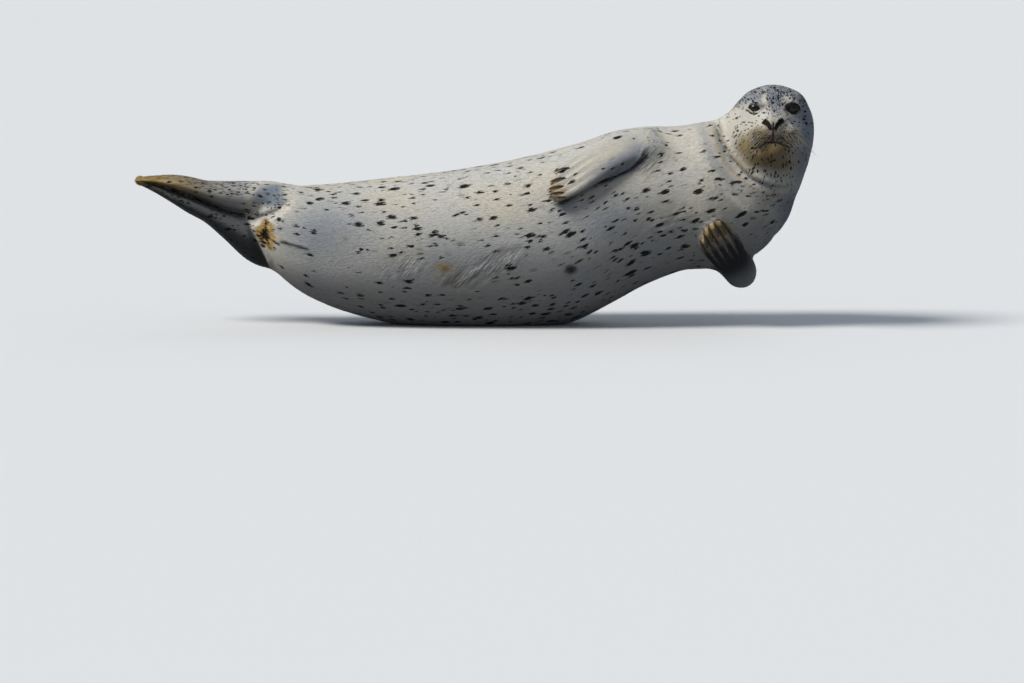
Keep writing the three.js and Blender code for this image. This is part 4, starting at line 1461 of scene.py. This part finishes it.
def makeMarkings():
    # one group for skin and coat: spots, flecks, stains, painted shade and painted highlights, from
    # attributes that both carry
    group = bpy.data.node_groups.new("sealMarkings", "ShaderNodeTree")
    group.interface.new_socket("Colour", in_out="OUTPUT", socket_type="NodeSocketColor")
    space = attributeOf(group, "coatSpace", "Vector")
    bent = space
    for scale, reach in spotWobbles:
        wobble = noise(group, space, scale, 2.0, output="Color")
        wobble = vectorMaths(group, "SUBTRACT", wobble, (0.5,) * 3)
        bent = vectorMaths(group, "MULTIPLY_ADD", wobble, (reach,) * 3, bent)
    marks = spotLayer(group, bent, *spotLayers[0])
    for layer in spotLayers[1:]:
        marks = maths(group, "MAXIMUM", marks, spotLayer(group, bent, *layer))
    made = {
        "marks": marks,
        "faintSpots": spotLayer(group, bent, *faintLayer),
        "mottling": maths(group, "POWER", attributeOf(group, "fleckAmount"), 2.0),
    }
    inputs = {"Vector": objectPlace(group), "Rotation": (0, wrinkleTurn, 0)}
    turned = addNode(group, "ShaderNodeMapping", inputs)
    spaces = {
        "coat": space,
        "drawn": vectorMaths(group, "MULTIPLY", space, (0.35, 1.0, 1.0)),
        "parted": vectorMaths(group, "MULTIPLY", turned.outputs[0], lineStretch),
    }
    textures = {}
    for name, (kind, *sizes) in coatNoises.items():
        textures[name] = noise(group, spaces[kind], *sizes)
    colour = coatColours["silver"]
    for name, texture, limits, strength, paint in paints:
        share = strength
        if texture:
            share = maths(group, "MULTIPLY", ramp(group, textures[texture], *limits), share)
        if name:
            source = made[name] if name in made else attributeOf(group, name)
            share = maths(group, "MULTIPLY", source, share)
        colour = mixColour(group, share, colour, coatColours[paint])
    tone = ramp(group, textures["streaks"], 0.25, 0.75)
    tone = mixColour(group, tone, coatColours["streakDark"], coatColours["streakPale"])
    colour = mixColour(group, streakStrength, colour, tone, "MULTIPLY")
    addNode(group, "NodeGroupOutput", {"Colour": colour})
    return group


markings = makeMarkings()


def makeSkinMaterial():
    material, tree, shader = newMaterial("spottedSkin", {"Specular IOR Level": 0.06})
    marks = addNode(tree, "ShaderNodeGroup", node_tree=markings)
    tree.links.new(marks.outputs["Colour"], shader.inputs["Base Color"])
    bare = attributeOf(tree, "bare")
    tree.links.new(ranged(tree, bare, 0.62, 0.30), shader.inputs["Roughness"])
    along = vectorMaths(tree, "MULTIPLY", attributeOf(tree, "coatSpace", "Vector"), (0.22, 1.0, 1.0))
    hairs, locks = noise(tree, along, 520, 3.0, 0.55), noise(tree, along, 110, 2.0)
    height = maths(tree, "MULTIPLY_ADD", locks, 0.25, hairs)
    bumped(tree, shader, height, ranged(tree, bare, 0.55, 0.12), 0.0007)
    return material


def makeCoatMaterial():
    material, tree, shader = newMaterial("spottedFur", {"Roughness": 0.6, "Specular IOR Level": 0.06})
    marks = addNode(tree, "ShaderNodeGroup", node_tree=markings).outputs["Colour"]
    tone = ranged(tree, attributeOf(tree, "tuftTone"), 0.95, 1.05)
    value = addNode(tree, "ShaderNodeHueSaturation", {"Color": marks, "Value": tone})
    tree.links.new(value.outputs["Color"], shader.inputs["Base Color"])
    return material


wetLook = {"Roughness": 0.28, "Specular IOR Level": 0.3, "Coat Weight": 0.08, "Coat Roughness": 0.2}
eyeColours = {
    "iris": ((0.017, 0.013, 0.011), (0.007, 0.006, 0.005)),
    "rings": [  # from where to where, in radians from the middle of the eye, and the colour there
        ((0.46, 0.60), (0.008, 0.007, 0.007)),
        ((0.26, 0.21), (0.002, 0.002, 0.002)),
        ((0.95, 1.12), (0.05, 0.035, 0.03)),
    ],
}


def makeEyeMaterial():
    material, tree, shader = newMaterial("wetEye", wetLook)
    ring = attributeOf(tree, "eyeRing")
    fibres = noise(tree, objectPlace(tree), 700, 3.0)
    colour = mixColour(tree, fibres, *eyeColours["iris"])
    for limits, paint in eyeColours["rings"]:
        colour = mixColour(tree, ramp(tree, ring, *limits), colour, paint)
    tree.links.new(colour, shader.inputs["Base Color"])
    bumped(tree, shader, fibres, 0.03, 0.0003)
    return material


hornLooks = {  # colour at the root, colour of the worn tip, scale of the grain
    "darkClaw": ((0.020, 0.012, 0.008), (0.16, 0.10, 0.05), 420),
    "paleClaw": ((0.40, 0.30, 0.12), (0.50, 0.42, 0.27), 420),
    "whiskerHorn": ((0.52, 0.47, 0.38), (0.74, 0.70, 0.60), 300),
}


def makeHornMaterial(name):
    atRoot, atTip, scale = hornLooks[name]
    material, tree, shader = newMaterial(name, {})
    grain = noise(tree, objectPlace(tree), scale, 3.0, 0.6)
    worn = ramp(tree, attributeOf(tree, "hornLength"), 0.45, 1.0)
    worn = maths(tree, "MULTIPLY", worn, ramp(tree, grain, 0.3, 0.7))
    tree.links.new(mixColour(tree, worn, atRoot, atTip), shader.inputs["Base Color"])
    tree.links.new(ranged(tree, grain, 0.32, 0.52), shader.inputs["Roughness"])
    bumped(tree, shader, grain, 0.2, 0.0004)
    return material


skinMaterial, coatMaterial, eyeMaterial = makeSkinMaterial(), makeCoatMaterial(), makeEyeMaterial()
foreClawMaterial, hindClawMaterial, whiskerMaterial = (makeHornMaterial(name) for name in hornLooks)
report("materials made")

# Unwrap of the skin. Each region is unrolled about its own axis: the trunk and the flippers as
# tubes, the head as a disc round the nose. The numbers give each region's place on the map.
mapPlaces = {
    "trunk": (0.005, 0.005, 0.985, 0.590),
    "head": (0.005, 0.610, 0.380, 0.380),
    "foreRight": (0.400, 0.610, 0.280, 0.180),
    "foreLeft": (0.400, 0.805, 0.280, 0.180),
    "hindRight": (0.695, 0.610, 0.295, 0.180),
    "hindLeft": (0.695, 0.805, 0.295, 0.180),
}


regionNames = list(mapPlaces)


def regionOf(p):
    # the number of each point's region; where two meet, the later one has it
    right, left = foreFlippers(p)
    hindR, hindL = hindFlippers(p)
    behind = p[:, 0] < -0.52
    there = {
        "head": np.linalg.norm(p - headCentre, axis=1) < 0.135,
        "foreRight": right < 0.001,
        "foreLeft": left < 0.001,
        "hindRight": behind & (hindR <= hindL),
        "hindLeft": behind & (hindR > hindL),
    }
    region = np.full(len(p), regionNames.index("trunk"))
    for name, isThere in there.items():
        region[isThere] = regionNames.index(name)
    return region


def tubeOf(angle, centreAngle, along, low, high, place):
    # the angle is taken from the face's own middle, so that no face is torn at the tube's seam
    angle = centreAngle + (angle - centreAngle + np.pi) % (2 * np.pi) - np.pi
    u = np.clip((along - low) / (high - low), 0, 1)
    v = np.clip((angle + np.pi) / (2 * np.pi), 0, 1)
    return place[0] + place[2] * u, place[1] + place[3] * v


def trunkTube(p):
    return np.arctan2(p[:, 2] - middleAt(p[:, 0]), p[:, 1]), p[:, 0], (-0.62, 0.84)


def paddleTube(paddle):
    def tube(p):
        s, u, height = paddle.place(p)
        return np.arctan2(height / paddle.halfThick(s), u), s, (-0.02, paddle.sizes["length"])
    return tube


def fanTube(fan):
    def tube(p):
        x, y, z = p.T
        rise, aside = (z - fan.height(x)) / fan.halfHeight(x), (y - hindFan["middle"]) / fanAt(x)
        return np.arctan2(rise, aside), x, (-0.80, -0.50)
    return tube


def headDisc(p, place):
    q = unit(inHead(p) - np.array((-0.01, 0, -0.01)))
    turn = np.arccos(np.clip(q[:, 0], -1, 1)) / np.pi
    spin = np.arctan2(q[:, 2], q[:, 1])
    u, v = 0.5 + 0.5 * turn * np.cos(spin), 0.5 + 0.5 * turn * np.sin(spin)
    return place[0] + place[2] * u, place[1] + place[3] * v


def unwrapped(p, middles, region):
    # p: the corners of faces; middles and region: those of the face that each corner belongs to
    u, v = np.zeros(len(p)), np.zeros(len(p))
    tubes = {
        "trunk": trunkTube,
        "foreRight": paddleTube(foreRightPaddle),
        "foreLeft": paddleTube(foreLeftPaddle),
        "hindRight": fanTube(hindRightFan),
        "hindLeft": fanTube(hindLeftFan),
    }
    for name, tube in tubes.items():
        k = region == regionNames.index(name)
        angle, along, (low, high) = tube(p[k])
        u[k], v[k] = tubeOf(angle, tube(middles[k])[0], along, low, high, mapPlaces[name])
    k = region == regionNames.index("head")
    u[k], v[k] = headDisc(p[k], mapPlaces["head"])
    return np.stack([u, v], 1)


# The skin as a piece.
fleshNodes = ["pelvis", "abdomen", "thorax", "neck", "head", "tail"]
fleshNodes += ["%s_flipper_%s" % (end, side) for end in ("fore", "hind") for side in ("right", "left")]

skin = newPiece("sealSkin", skinPoints, skinQuads, skinMaterial, fleshNodes)
setAttribute(skin.data, "hairFlow", hairFlow(skinPoints, skinOut))
setAttribute(skin.data, "coatSpace", coatSpace(skinPoints))
for maskName, values in coatMasks(skinPoints).items():
    setAttribute(skin.data, maskName, values)
cornerPoints = skinPoints[skinQuads].reshape(-1, 3)
quadMiddles = skinPoints[skinQuads].mean(1)
quadRegion = regionOf(quadMiddles)
uvMap = skin.data.uv_layers.new(name="OFBake")
uv = unwrapped(cornerPoints, np.repeat(quadMiddles, 4, 0), np.repeat(quadRegion, 4))
uvMap.data.foreach_set("uv", uv.astype(np.float32).ravel())
report("skin made")

# Eyes.


def eyePiece(name, side, node):
    # a ball whose poles lie on the line of sight, with a low dome over the iris
    rings, around = 40, 48
    points, ringTurns = [], []
    for i in range(rings + 1):
        turn = math.pi * i / rings
        dome = 1 + eyeSizes["dome"] * smoothStep(eyeSizes["domeReach"], 0.0, np.array(turn))
        for j in range(around if 0 < i < rings else 1):
            spin = 2 * math.pi * j / around
            wide = math.sin(turn)
            way = np.array((wide * math.cos(spin), wide * math.sin(spin), math.cos(turn)))
            points.append(eyePlace + eyeFrame @ way * eyeSizes["radius"] * dome)
            ringTurns.append(turn)
    faces = []
    last = 1 + around * (rings - 2)
    for j in range(around):
        k = (j + 1) % around
        faces.append((0, 1 + j, 1 + k))
        faces.append((last + around, last + k, last + j))
        for i in range(rings - 2):
            a, b = 1 + around * i, 1 + around * (i + 1)
            faces.append((a + j, b + j, b + k, a + k))
    points = np.array(points) * (1, side, 1)
    if side < 0:
        faces = [face[::-1] for face in faces]
    eye = newPiece(name, fromHead(points), faces, eyeMaterial, [node])
    setAttribute(eye.data, "eyeRing", np.array(ringTurns))


eyePiece("eyeRight", -1, "eye_right")
eyePiece("eyeLeft", 1, "eye_left")
report("eyes made")

# Claws and whiskers.


def horns(name, paths, radii, flat, material, nodes, sides=8):
    # tapering horns along paths, each round or flattened across its bend
    points, faces, lengths = [], [], []
    for path, radius in zip(paths, radii):
        path, radius = np.array(path), np.array(radius)
        along = unit(np.gradient(path, axis=0))
        across = unit(np.cross(along, unit(np.cross(along[0], along[-1] + (1e-4, 2e-4, 3e-4)))))
        over = np.cross(along, across)
        base = len(points)
        spins = 2 * np.pi * np.arange(sides) / sides
        for i in range(len(path)):
            ring = np.cos(spins)[:, None] * across[i] * flat + np.sin(spins)[:, None] * over[i]
            points.extend(path[i] + radius[i] * ring)
            lengths.extend([i / (len(path) - 1)] * sides)
        for i in range(len(path) - 1):
            for j in range(sides):
                k = (j + 1) % sides
                a, b = base + sides * i, base + sides * (i + 1)
                faces.append((a + j, a + k, b + k, b + j))
        faces.append(tuple(base + np.arange(sides)[::-1]))
        faces.append(tuple(base + sides * (len(path) - 1) + np.arange(sides)))
    piece = newPiece(name, points, faces, material, nodes)
    setAttribute(piece.data, "hornLength", np.array(lengths))


clawSizes = {
    "foreRight": {"behind": 0.030, "beyond": 0.007, "radius": 0.0030, "turn": -0.35},
    "foreLeft": {"behind": 0.034, "beyond": 0.006, "radius": 0.0038, "turn": -0.22},
    "hind": {"behind": 0.012, "beyond": 0.0015, "radius": 0.0022, "turn": 0.0},
}


def bluntEdge(u, blunt):
    # how thick a flipper is at a place across it, as a share of its middle
    return (1 - abs(u) ** blunt) ** (1 / blunt)


def clawPaths(flipper, shape, sizes, lift, way):
    paths = []
    t = np.linspace(0, 1, clawPoints)[:, None]
    for u in shape["clawsAt"]:
        edge, end = bluntEdge(u, shape["blunt"]), flipper.end(u)
        rootU = min(max(u + sizes["turn"], -0.93), 0.93)
        rootRise = lift * bluntEdge(rootU, shape["blunt"]) * 0.9
        root = flipper.point(end - way * sizes["behind"], rootU, rootRise)[0]
        over = flipper.point(end - way * sizes["behind"] * 0.2, u, lift * (edge + 0.65))[0]
        tip = flipper.point(end + way * sizes["beyond"], u, lift * edge * 0.5)[0]
        paths.append((1 - t) ** 2 * root + 2 * t * (1 - t) * over + t * t * tip)
    return paths


clawPoints = 12
clawSwell = np.sin(np.pi * (0.12 + 0.86 * np.linspace(0, 1, clawPoints))) ** 0.6
clawProfile = clawSwell * np.linspace(1.0, 0.55, clawPoints)
clawSets = [  # name, flipper, its shape, kind of claw, which face it is on, which way the tip is, nodes
    ("clawsForeRight", foreRightPaddle, foreRight, "foreRight", 1, 1, "claw_fore_right"),
    ("clawsForeLeft", foreLeftPaddle, foreLeft, "foreLeft", 1, 1, "claw_fore_left"),
    ("clawsHindRight", hindRightFan, hindFan, "hind", 1, -1, "claw_hind_right"),
    ("clawsHindLeft", hindLeftFan, hindFan, "hind", -1, -1, "claw_hind_left"),
]
for name, flipper, shape, kind, lift, way, node in clawSets:
    sizes = clawSizes[kind]
    paths = clawPaths(flipper, shape, sizes, lift, way)
    radii = [sizes["radius"] * clawProfile] * digits
    clawMaterial = hindClawMaterial if kind == "hind" else foreClawMaterial
    horns(name, paths, radii, 0.8, clawMaterial, ["%s_%d" % (node, i + 1) for i in range(digits)])

whiskerSizes = {
    "rows": [(-0.030, 5), (-0.038, 7), (-0.046, 8), (-0.054, 7), (-0.061, 5)],  # height, how many
    "inner": 0.017,
    "outer": 0.050,
    "shortest": 0.018,
    "longest": 0.062,
    "radius": 0.00048,
    "points": 9,
    "browHairs": 4,
    "seed": 5,
}


def bentHair(root, way, droop, length):
    t = np.linspace(0, 1, whiskerSizes["points"])[:, None]
    return root + length * (t * unit(np.array(way, float)) + t * t * np.array(droop))


def padWhisker(random, height, aside):
    share = (aside - whiskerSizes["inner"]) / (whiskerSizes["outer"] - whiskerSizes["inner"])
    up = height + random.uniform(-0.0012, 0.0012) + 0.004 * share
    root = onFace(aside, up)[0] - (0.0025, 0, 0)
    length = np.interp(share, [0, 1], [whiskerSizes["shortest"], whiskerSizes["longest"]])
    length *= random.uniform(0.8, 1.1)
    ahead = 0.26 - 0.42 * share + random.uniform(-0.05, 0.05)
    way = (ahead, 0.55 + 0.25 * share, -0.60 + random.uniform(-0.08, 0.08))
    droop = (-0.16, 0.02, -0.16 + random.uniform(-0.06, 0.02))
    return bentHair(root, way, droop, length), 0.6 + 0.5 * share


def browHair(random, i):
    root = onFace(0.030 + 0.006 * i, 0.058 - 0.001 * i)[0] - (0.002, 0, 0)
    way = (0.30, 0.30 + 0.1 * i, 0.75 - 0.1 * i)
    return bentHair(root, way, (-0.25, 0.05, -0.05), random.uniform(0.014, 0.022)), 0.6


def whiskerPaths():
    random = np.random.default_rng(whiskerSizes["seed"])
    taper = np.linspace(1, 0.18, whiskerSizes["points"])
    paths, radii = [], []
    for side in (-1, 1):
        hairs = [
            padWhisker(random, height, aside)
            for height, count in whiskerSizes["rows"]
            for aside in np.linspace(whiskerSizes["inner"], whiskerSizes["outer"], count)
        ]
        hairs += [browHair(random, i) for i in range(whiskerSizes["browHairs"])]
        for path, thickness in hairs:
            paths.append(fromHead(path * (1, side, 1)))
            radii.append(whiskerSizes["radius"] * thickness * taper)
    return paths, radii


paths, radii = whiskerPaths()
horns("whiskers", paths, radii, 1.0, whiskerMaterial, [], sides=5)
report("claws and whiskers made")

# Coat. Where each tuft stands on the skin, how long it is and how far it stands off are attributes.
lieOfCoat = {
    "length": {"body": 0.0100, "flipper": 0.0065, "face": 0.0040},
    "density": {"body": 58000, "flipper": 120000, "face": 330000},  # tufts to a square metre
    "lift": 3.0,  # degrees
}


def tuftShape():
    # a thin solid blade, one long and one wide, that dips into the skin at its root
    points = [(-0.15, 0, -0.3), (0.35, -0.5, 0.1), (0.35, 0.5, 0.1), (0.38, 0, 0.7), (1, 0, 0.15)]
    faces = [(0, 1, 3), (0, 3, 2), (1, 4, 3), (3, 4, 2), (0, 2, 1), (1, 2, 4)]
    mesh = bpy.data.meshes.new("tuftShape")
    mesh.from_pydata(points, [], faces)
    mesh.polygons.foreach_set("use_smooth", np.ones(len(faces), bool))
    setAttribute(mesh, "patch", np.array([(x - 0.5, y, 0) for x, y, z in points]))
    return bpy.data.objects.new("tuftShape", mesh)


def flipperTips(p):
    right, left = foreFlippers(p)
    rightS, leftS = (paddle.place(p)[0] for paddle in forePaddles)
    return most(
        smoothStep(0.235, 0.27, rightS) * (right < 0.006),
        smoothStep(0.12, 0.15, leftS) * (left < 0.006),
        smoothStep(-0.70, -0.77, p[:, 0]),
    )


def clearOfFace(q):
    # 0 on the eyes, the nose and the lips, which have no hair
    m, n = folded(q), ofMuzzle(q)
    gap = lidGap(m) + 3 * np.maximum(0, np.abs(eyeballGap(m)) - 0.006)
    nose = blob(n[:, 1], n[:, 2], (0, -0.022), (0.010, 0.013)) * smoothStep(0.09, 0.105, n[:, 0])
    clear = smoothStep(0.0015, 0.0045, gap) * smoothStep(0.001, 0.004, nostrilAway(q))
    clear *= smoothStep(0.0005, 0.003, grooveAway(q)) * smoothStep(0.0015, 0.0045, lipsAway(q))
    return clear * smoothStep(0.6, 0.2, nose)


def coatLie(p):
    face, onFlipper = faceShare(p), np.maximum(flipperShare(p), headShare(p))
    side = sideOf(p, crease["points"])
    fringe = creaseFade(p) * smoothStep(-0.001, 0.003, side) * smoothStep(0.018, 0.006, side)
    length, lift = ofPart(lieOfCoat["length"], onFlipper, face), lieOfCoat["lift"]
    for share, longer, higher in ((fringe, 0.25, 4), (wrinkled(p), 1.0, 3), (flipperTips(p), 0.5, 6)):
        length *= 1 + longer * share
        lift = lift + higher * share
    lift = lift * smoothStep(-0.004, 0.025, p[:, 2])
    density = ofPart(lieOfCoat["density"], onFlipper, face)
    k = np.flatnonzero(face > 0.5)
    density[k] *= clearOfFace(inHead(p[k]))
    return {"hairLength": length, "hairLift": np.radians(lift), "tuftDensity": density}


for lieName, values in coatLie(skinPoints).items():
    setAttribute(skin.data, lieName, values)

coatParts = {  # region of the unwrap, and from where to where along the body
    "coatHead": ("head", -9, 9),
    "coatNeck": ("trunk", 0.50, 9),
    "coatShoulder": ("trunk", 0.25, 0.50),
    "coatWaist": ("trunk", -0.02, 0.25),
    "coatLoin": ("trunk", -0.28, -0.02),
    "coatRump": ("trunk", -9, -0.28),
    "coatForeRight": ("foreRight", -9, 9),
    "coatForeLeft": ("foreLeft", -9, 9),
    "coatHindRight": ("hindRight", -9, 9),
    "coatHindLeft": ("hindLeft", -9, 9),
}
partNumber = np.zeros(len(skinQuads), int)
for number, (region, low, high) in enumerate(coatParts.values()):
    within = (quadMiddles[:, 0] > low) & (quadMiddles[:, 0] <= high)
    partNumber[(quadRegion == regionNames.index(region)) & within] = number
partAttribute = skin.data.attributes.new("coatPart", "INT", "FACE")
partAttribute.data.foreach_set("value", partNumber.astype(np.int32))

coatSettings = {
    "Tuft Width": 0.14,  # of its length
    "Tuft Height": 0.026,
    "Yaw": 8.0,
    "Bake Patch": 0.003,
    "Seed": 11,
}
coatInputs = {
    "Geometry": "Geometry",
    "Tuft": "Object",
    "Material": "Material",
    "Part": "Int",
    "Tuft Width": "Float",
    "Tuft Height": "Float",
    "Yaw": "Float",
    "Bake Patch": "Float",
    "Seed": "Int",
}
spareAttributes = ["rootPlace", "rootNormal", "patch", "hairFlow", "hairLength", "hairLift"]
spareAttributes += ["tuftDensity", "bare", "coatPart"]  # needed only while the tufts are made


def enabledSocket(sockets, *names):
    # the first socket that is in use, or the first such one of these names
    return next(socket for socket in sockets if socket.enabled and (socket.name in names or not names))


def coatTree():
    tree = bpy.data.node_groups.new("coatTufts", "GeometryNodeTree")
    for label, kind in coatInputs.items():
        tree.interface.new_socket(label, in_out="INPUT", socket_type="NodeSocket" + kind)
    tree.interface.new_socket("Geometry", in_out="OUTPUT", socket_type="NodeSocketGeometry")
    given = tree.nodes.new("NodeGroupInput").outputs

    def named(name, kind="FLOAT"):
        node = addNode(tree, "GeometryNodeInputNamedAttribute", {"Name": name}, data_type=kind)
        return enabledSocket(node.outputs, "Attribute")

    def randomBetween(low, high, seed):
        node = addNode(tree, "FunctionNodeRandomValue", data_type="FLOAT")
        for label, value in (("Min", low), ("Max", high)):
            enabledSocket(node.inputs, label).default_value = value
        tree.links.new(maths(tree, "ADD", given["Seed"], seed), enabledSocket(node.inputs, "Seed"))
        return enabledSocket(node.outputs)

    def stored(geometry, name, value, kind="FLOAT", domain="POINT"):
        inputs = {"Geometry": geometry, "Name": name}
        node = addNode(tree, "GeometryNodeStoreNamedAttribute", inputs, data_type=kind, domain=domain)
        tree.links.new(value, enabledSocket(node.inputs, "Value"))
        return node.outputs[0]

    here = addNode(tree, "FunctionNodeCompare", data_type="INT", operation="EQUAL")
    sockets = [socket for socket in here.inputs if socket.enabled]
    tree.links.new(named("coatPart", "INT"), sockets[0])
    tree.links.new(given["Part"], sockets[1])
    inputs = {"Mesh": given["Geometry"], "Selection": here.outputs[0], "Seed": given["Seed"]}
    scatter = addNode(tree, "GeometryNodeDistributePointsOnFaces", inputs, distribute_method="RANDOM")
    tree.links.new(named("tuftDensity"), scatter.inputs["Density"])
    points = stored(scatter.outputs["Points"], "tuftTone", randomBetween(0, 1, 1))
    points = stored(points, "rootPlace", named("OFBake", "FLOAT_VECTOR"), "FLOAT_VECTOR")
    points = stored(points, "rootNormal", scatter.outputs["Normal"], "FLOAT_VECTOR")

    # each tuft lies along the hair, turned a little aside and lifted off the skin
    along = named("hairFlow", "FLOAT_VECTOR")
    inputs = {"Primary Axis": scatter.outputs["Normal"], "Secondary Axis": along}
    axes = addNode(tree, "FunctionNodeAxesToRotation", inputs, primary_axis="Z", secondary_axis="X")
    yaw = maths(tree, "MULTIPLY", maths(tree, "RADIANS", given["Yaw"]), randomBetween(-1, 1, 2))
    lift = maths(tree, "MULTIPLY", named("hairLift"), randomBetween(-1.7, -0.4, 3))
    turn = addNode(tree, "ShaderNodeCombineXYZ", {"Y": lift, "Z": yaw}).outputs[0]
    inputs = {0: axes.outputs[0], 1: turn}
    turned = addNode(tree, "FunctionNodeRotateRotation", inputs, rotation_space="LOCAL")
    length = maths(tree, "MULTIPLY", named("hairLength"), randomBetween(0.7, 1.3, 4))
    width = maths(tree, "MULTIPLY", length, given["Tuft Width"])
    width = maths(tree, "MULTIPLY", width, randomBetween(0.7, 1.3, 5))
    height = maths(tree, "MULTIPLY", length, given["Tuft Height"])
    scale = addNode(tree, "ShaderNodeCombineXYZ", {"X": length, "Y": width, "Z": height}).outputs[0]
    tuft = addNode(tree, "GeometryNodeObjectInfo", {"Object": given["Tuft"]}).outputs["Geometry"]
    inputs = {"Points": points, "Instance": tuft, "Rotation": turned.outputs[0], "Scale": scale}
    placed = addNode(tree, "GeometryNodeInstanceOnPoints", inputs).outputs[0]
    solid = addNode(tree, "GeometryNodeRealizeInstances", {"Geometry": placed}).outputs[0]

    # each takes its colours from a small patch of the map round its root, and shades like the skin
    patch, rootPlace = named("patch", "FLOAT_VECTOR"), named("rootPlace", "FLOAT_VECTOR")
    bakePlace = vectorMaths(tree, "MULTIPLY_ADD", patch, given["Bake Patch"], rootPlace)
    mapped = stored(solid, "OFBake", bakePlace, "FLOAT2", "CORNER")
    own = addNode(tree, "GeometryNodeInputNormal").outputs["Normal"]
    leaning = vectorMaths(tree, "MULTIPLY_ADD", own, (0.25,) * 3, named("rootNormal", "FLOAT_VECTOR"))
    sleek = addNode(tree, "GeometryNodeSetMeshNormal", {"Mesh": mapped}, mode="FREE", domain="POINT")
    tree.links.new(vectorMaths(tree, "NORMALIZE", leaning), sleek.inputs["Custom Normal"])
    inputs = {"Geometry": sleek.outputs[0], "Material": given["Material"]}
    dressed = addNode(tree, "GeometryNodeSetMaterial", inputs).outputs[0]
    addNode(tree, "NodeGroupOutput", {"Geometry": dressed})
    return tree


def makeCoat():
    tree, tuft = coatTree(), tuftShape()
    inputs = [item for item in tree.interface.items_tree if item.in_out == "INPUT"]
    sockets = {item.name: item.identifier for item in inputs}
    ground = bpy.data.objects.new("coatGround", skin.data.copy())
    bpy.context.scene.collection.objects.link(ground)
    total = 0
    for number, name in enumerate(coatParts):
        modifier = ground.modifiers.new("coat", "NODES")
        modifier.node_group = tree
        given = {"Tuft": tuft, "Material": coatMaterial, "Part": number, **coatSettings}
        given["Seed"] += 10 * number
        for label, value in given.items():
            modifier[sockets[label]] = value
        ground.update_tag()
        shown = ground.evaluated_get(bpy.context.evaluated_depsgraph_get())
        mesh = bpy.data.meshes.new_from_object(shown)
        mesh.name = name
        ground.modifiers.remove(modifier)
        for spare in spareAttributes:
            if spare in mesh.attributes:
                mesh.attributes.remove(mesh.attributes[spare])
        piece = bpy.data.objects.new(name, mesh)
        bpy.context.scene.collection.objects.link(piece)
        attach(piece, "root")
        total += len(mesh.polygons)
    bpy.data.objects.remove(ground)
    bpy.data.objects.remove(tuft)
    return total


report("coat made, %d triangles" % makeCoat())

# Floor, lights and camera.
floorSizes = {"half": 30.0, "roughness": 0.9}
floorColours = {"lit": (0.13, 0.13, 0.13), "seen": (0.76, 0.78, 0.81)}
lamps = {  # where the light comes from, how wide its sun is in degrees, strength, colour
    "keyLight": ((-0.75, -0.30, 0.90), 22, 2.95, (1.0, 0.96, 0.89)),
    "backLight": ((0.25, 0.80, 0.60), 45, 0.35, (0.90, 0.95, 1.0)),
}
skyLight = {"colour": (0.74, 0.83, 0.95), "strength": 0.31}


def makeStage():
    mesh = bpy.data.meshes.new("floor")
    half = floorSizes["half"]
    floorCorners = [(-half, -half, 0), (half, -half, 0), (half, half, 0), (-half, half, 0)]
    mesh.from_pydata(floorCorners, [], [(0, 1, 2, 3)])
    material, tree, shader = newMaterial("paleFloor", {"Roughness": floorSizes["roughness"]})
    rays = addNode(tree, "ShaderNodeLightPath").outputs
    seen = maths(tree, "MAXIMUM", rays["Is Camera Ray"], rays["Is Glossy Ray"])
    seen = maths(tree, "MAXIMUM", seen, rays["Is Transmission Ray"])
    colour = mixColour(tree, seen, floorColours["lit"], floorColours["seen"])
    tree.links.new(colour, shader.inputs["Base Color"])
    mesh.materials.append(material)
    floor = bpy.data.objects.new("floor", mesh)
    bpy.context.scene.collection.objects.link(floor)
    floor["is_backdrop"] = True


def softLight(name, comesFrom, width, strength, colour):
    lamp = bpy.data.lights.new(name, "SUN")
    lamp.angle, lamp.energy, lamp.color = math.radians(width), strength, colour
    light = bpy.data.objects.new(name, lamp)
    light.location = Vector(comesFrom) * 4
    light.rotation_euler = (-Vector(comesFrom)).to_track_quat("-Z", "Y").to_euler()
    bpy.context.scene.collection.objects.link(light)


makeStage()
for lampName, lampSettings in lamps.items():
    softLight(lampName, *lampSettings)

world = bpy.data.worlds.new("studio")
bpy.context.scene.world = world
world.use_nodes = True
background = world.node_tree.nodes["Background"]
background.inputs["Color"].default_value = (*skyLight["colour"], 1)
background.inputs["Strength"].default_value = skyLight["strength"]

cameraSizes = {
    "lens": 250,
    "sensor": 36,
    "distance": 16.71,
    "tilt": math.radians(6),
    "target": (0.0858, 0, -0.0425),
    "seesTo": 300,
}
cameraData = bpy.data.cameras.new("camera")
cameraData.lens, cameraData.sensor_width = cameraSizes["lens"], cameraSizes["sensor"]
cameraData.clip_end = cameraSizes["seesTo"]
camera = bpy.data.objects.new("camera", cameraData)
tilt = cameraSizes["tilt"]
away = np.array((0, -math.cos(tilt), math.sin(tilt))) * cameraSizes["distance"]
camera.location = np.array(cameraSizes["target"]) + rowShift + away
camera.rotation_euler = (math.pi / 2 - tilt, 0, 0)
bpy.context.scene.collection.objects.link(camera)
bpy.context.scene.camera = camera
bpy.context.scene.view_settings.view_transform = "Standard"

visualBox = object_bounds()
sizes = {"cad": [list(corner) for corner in cadBox], "visual": [list(corner) for corner in visualBox]}
report("finishing")
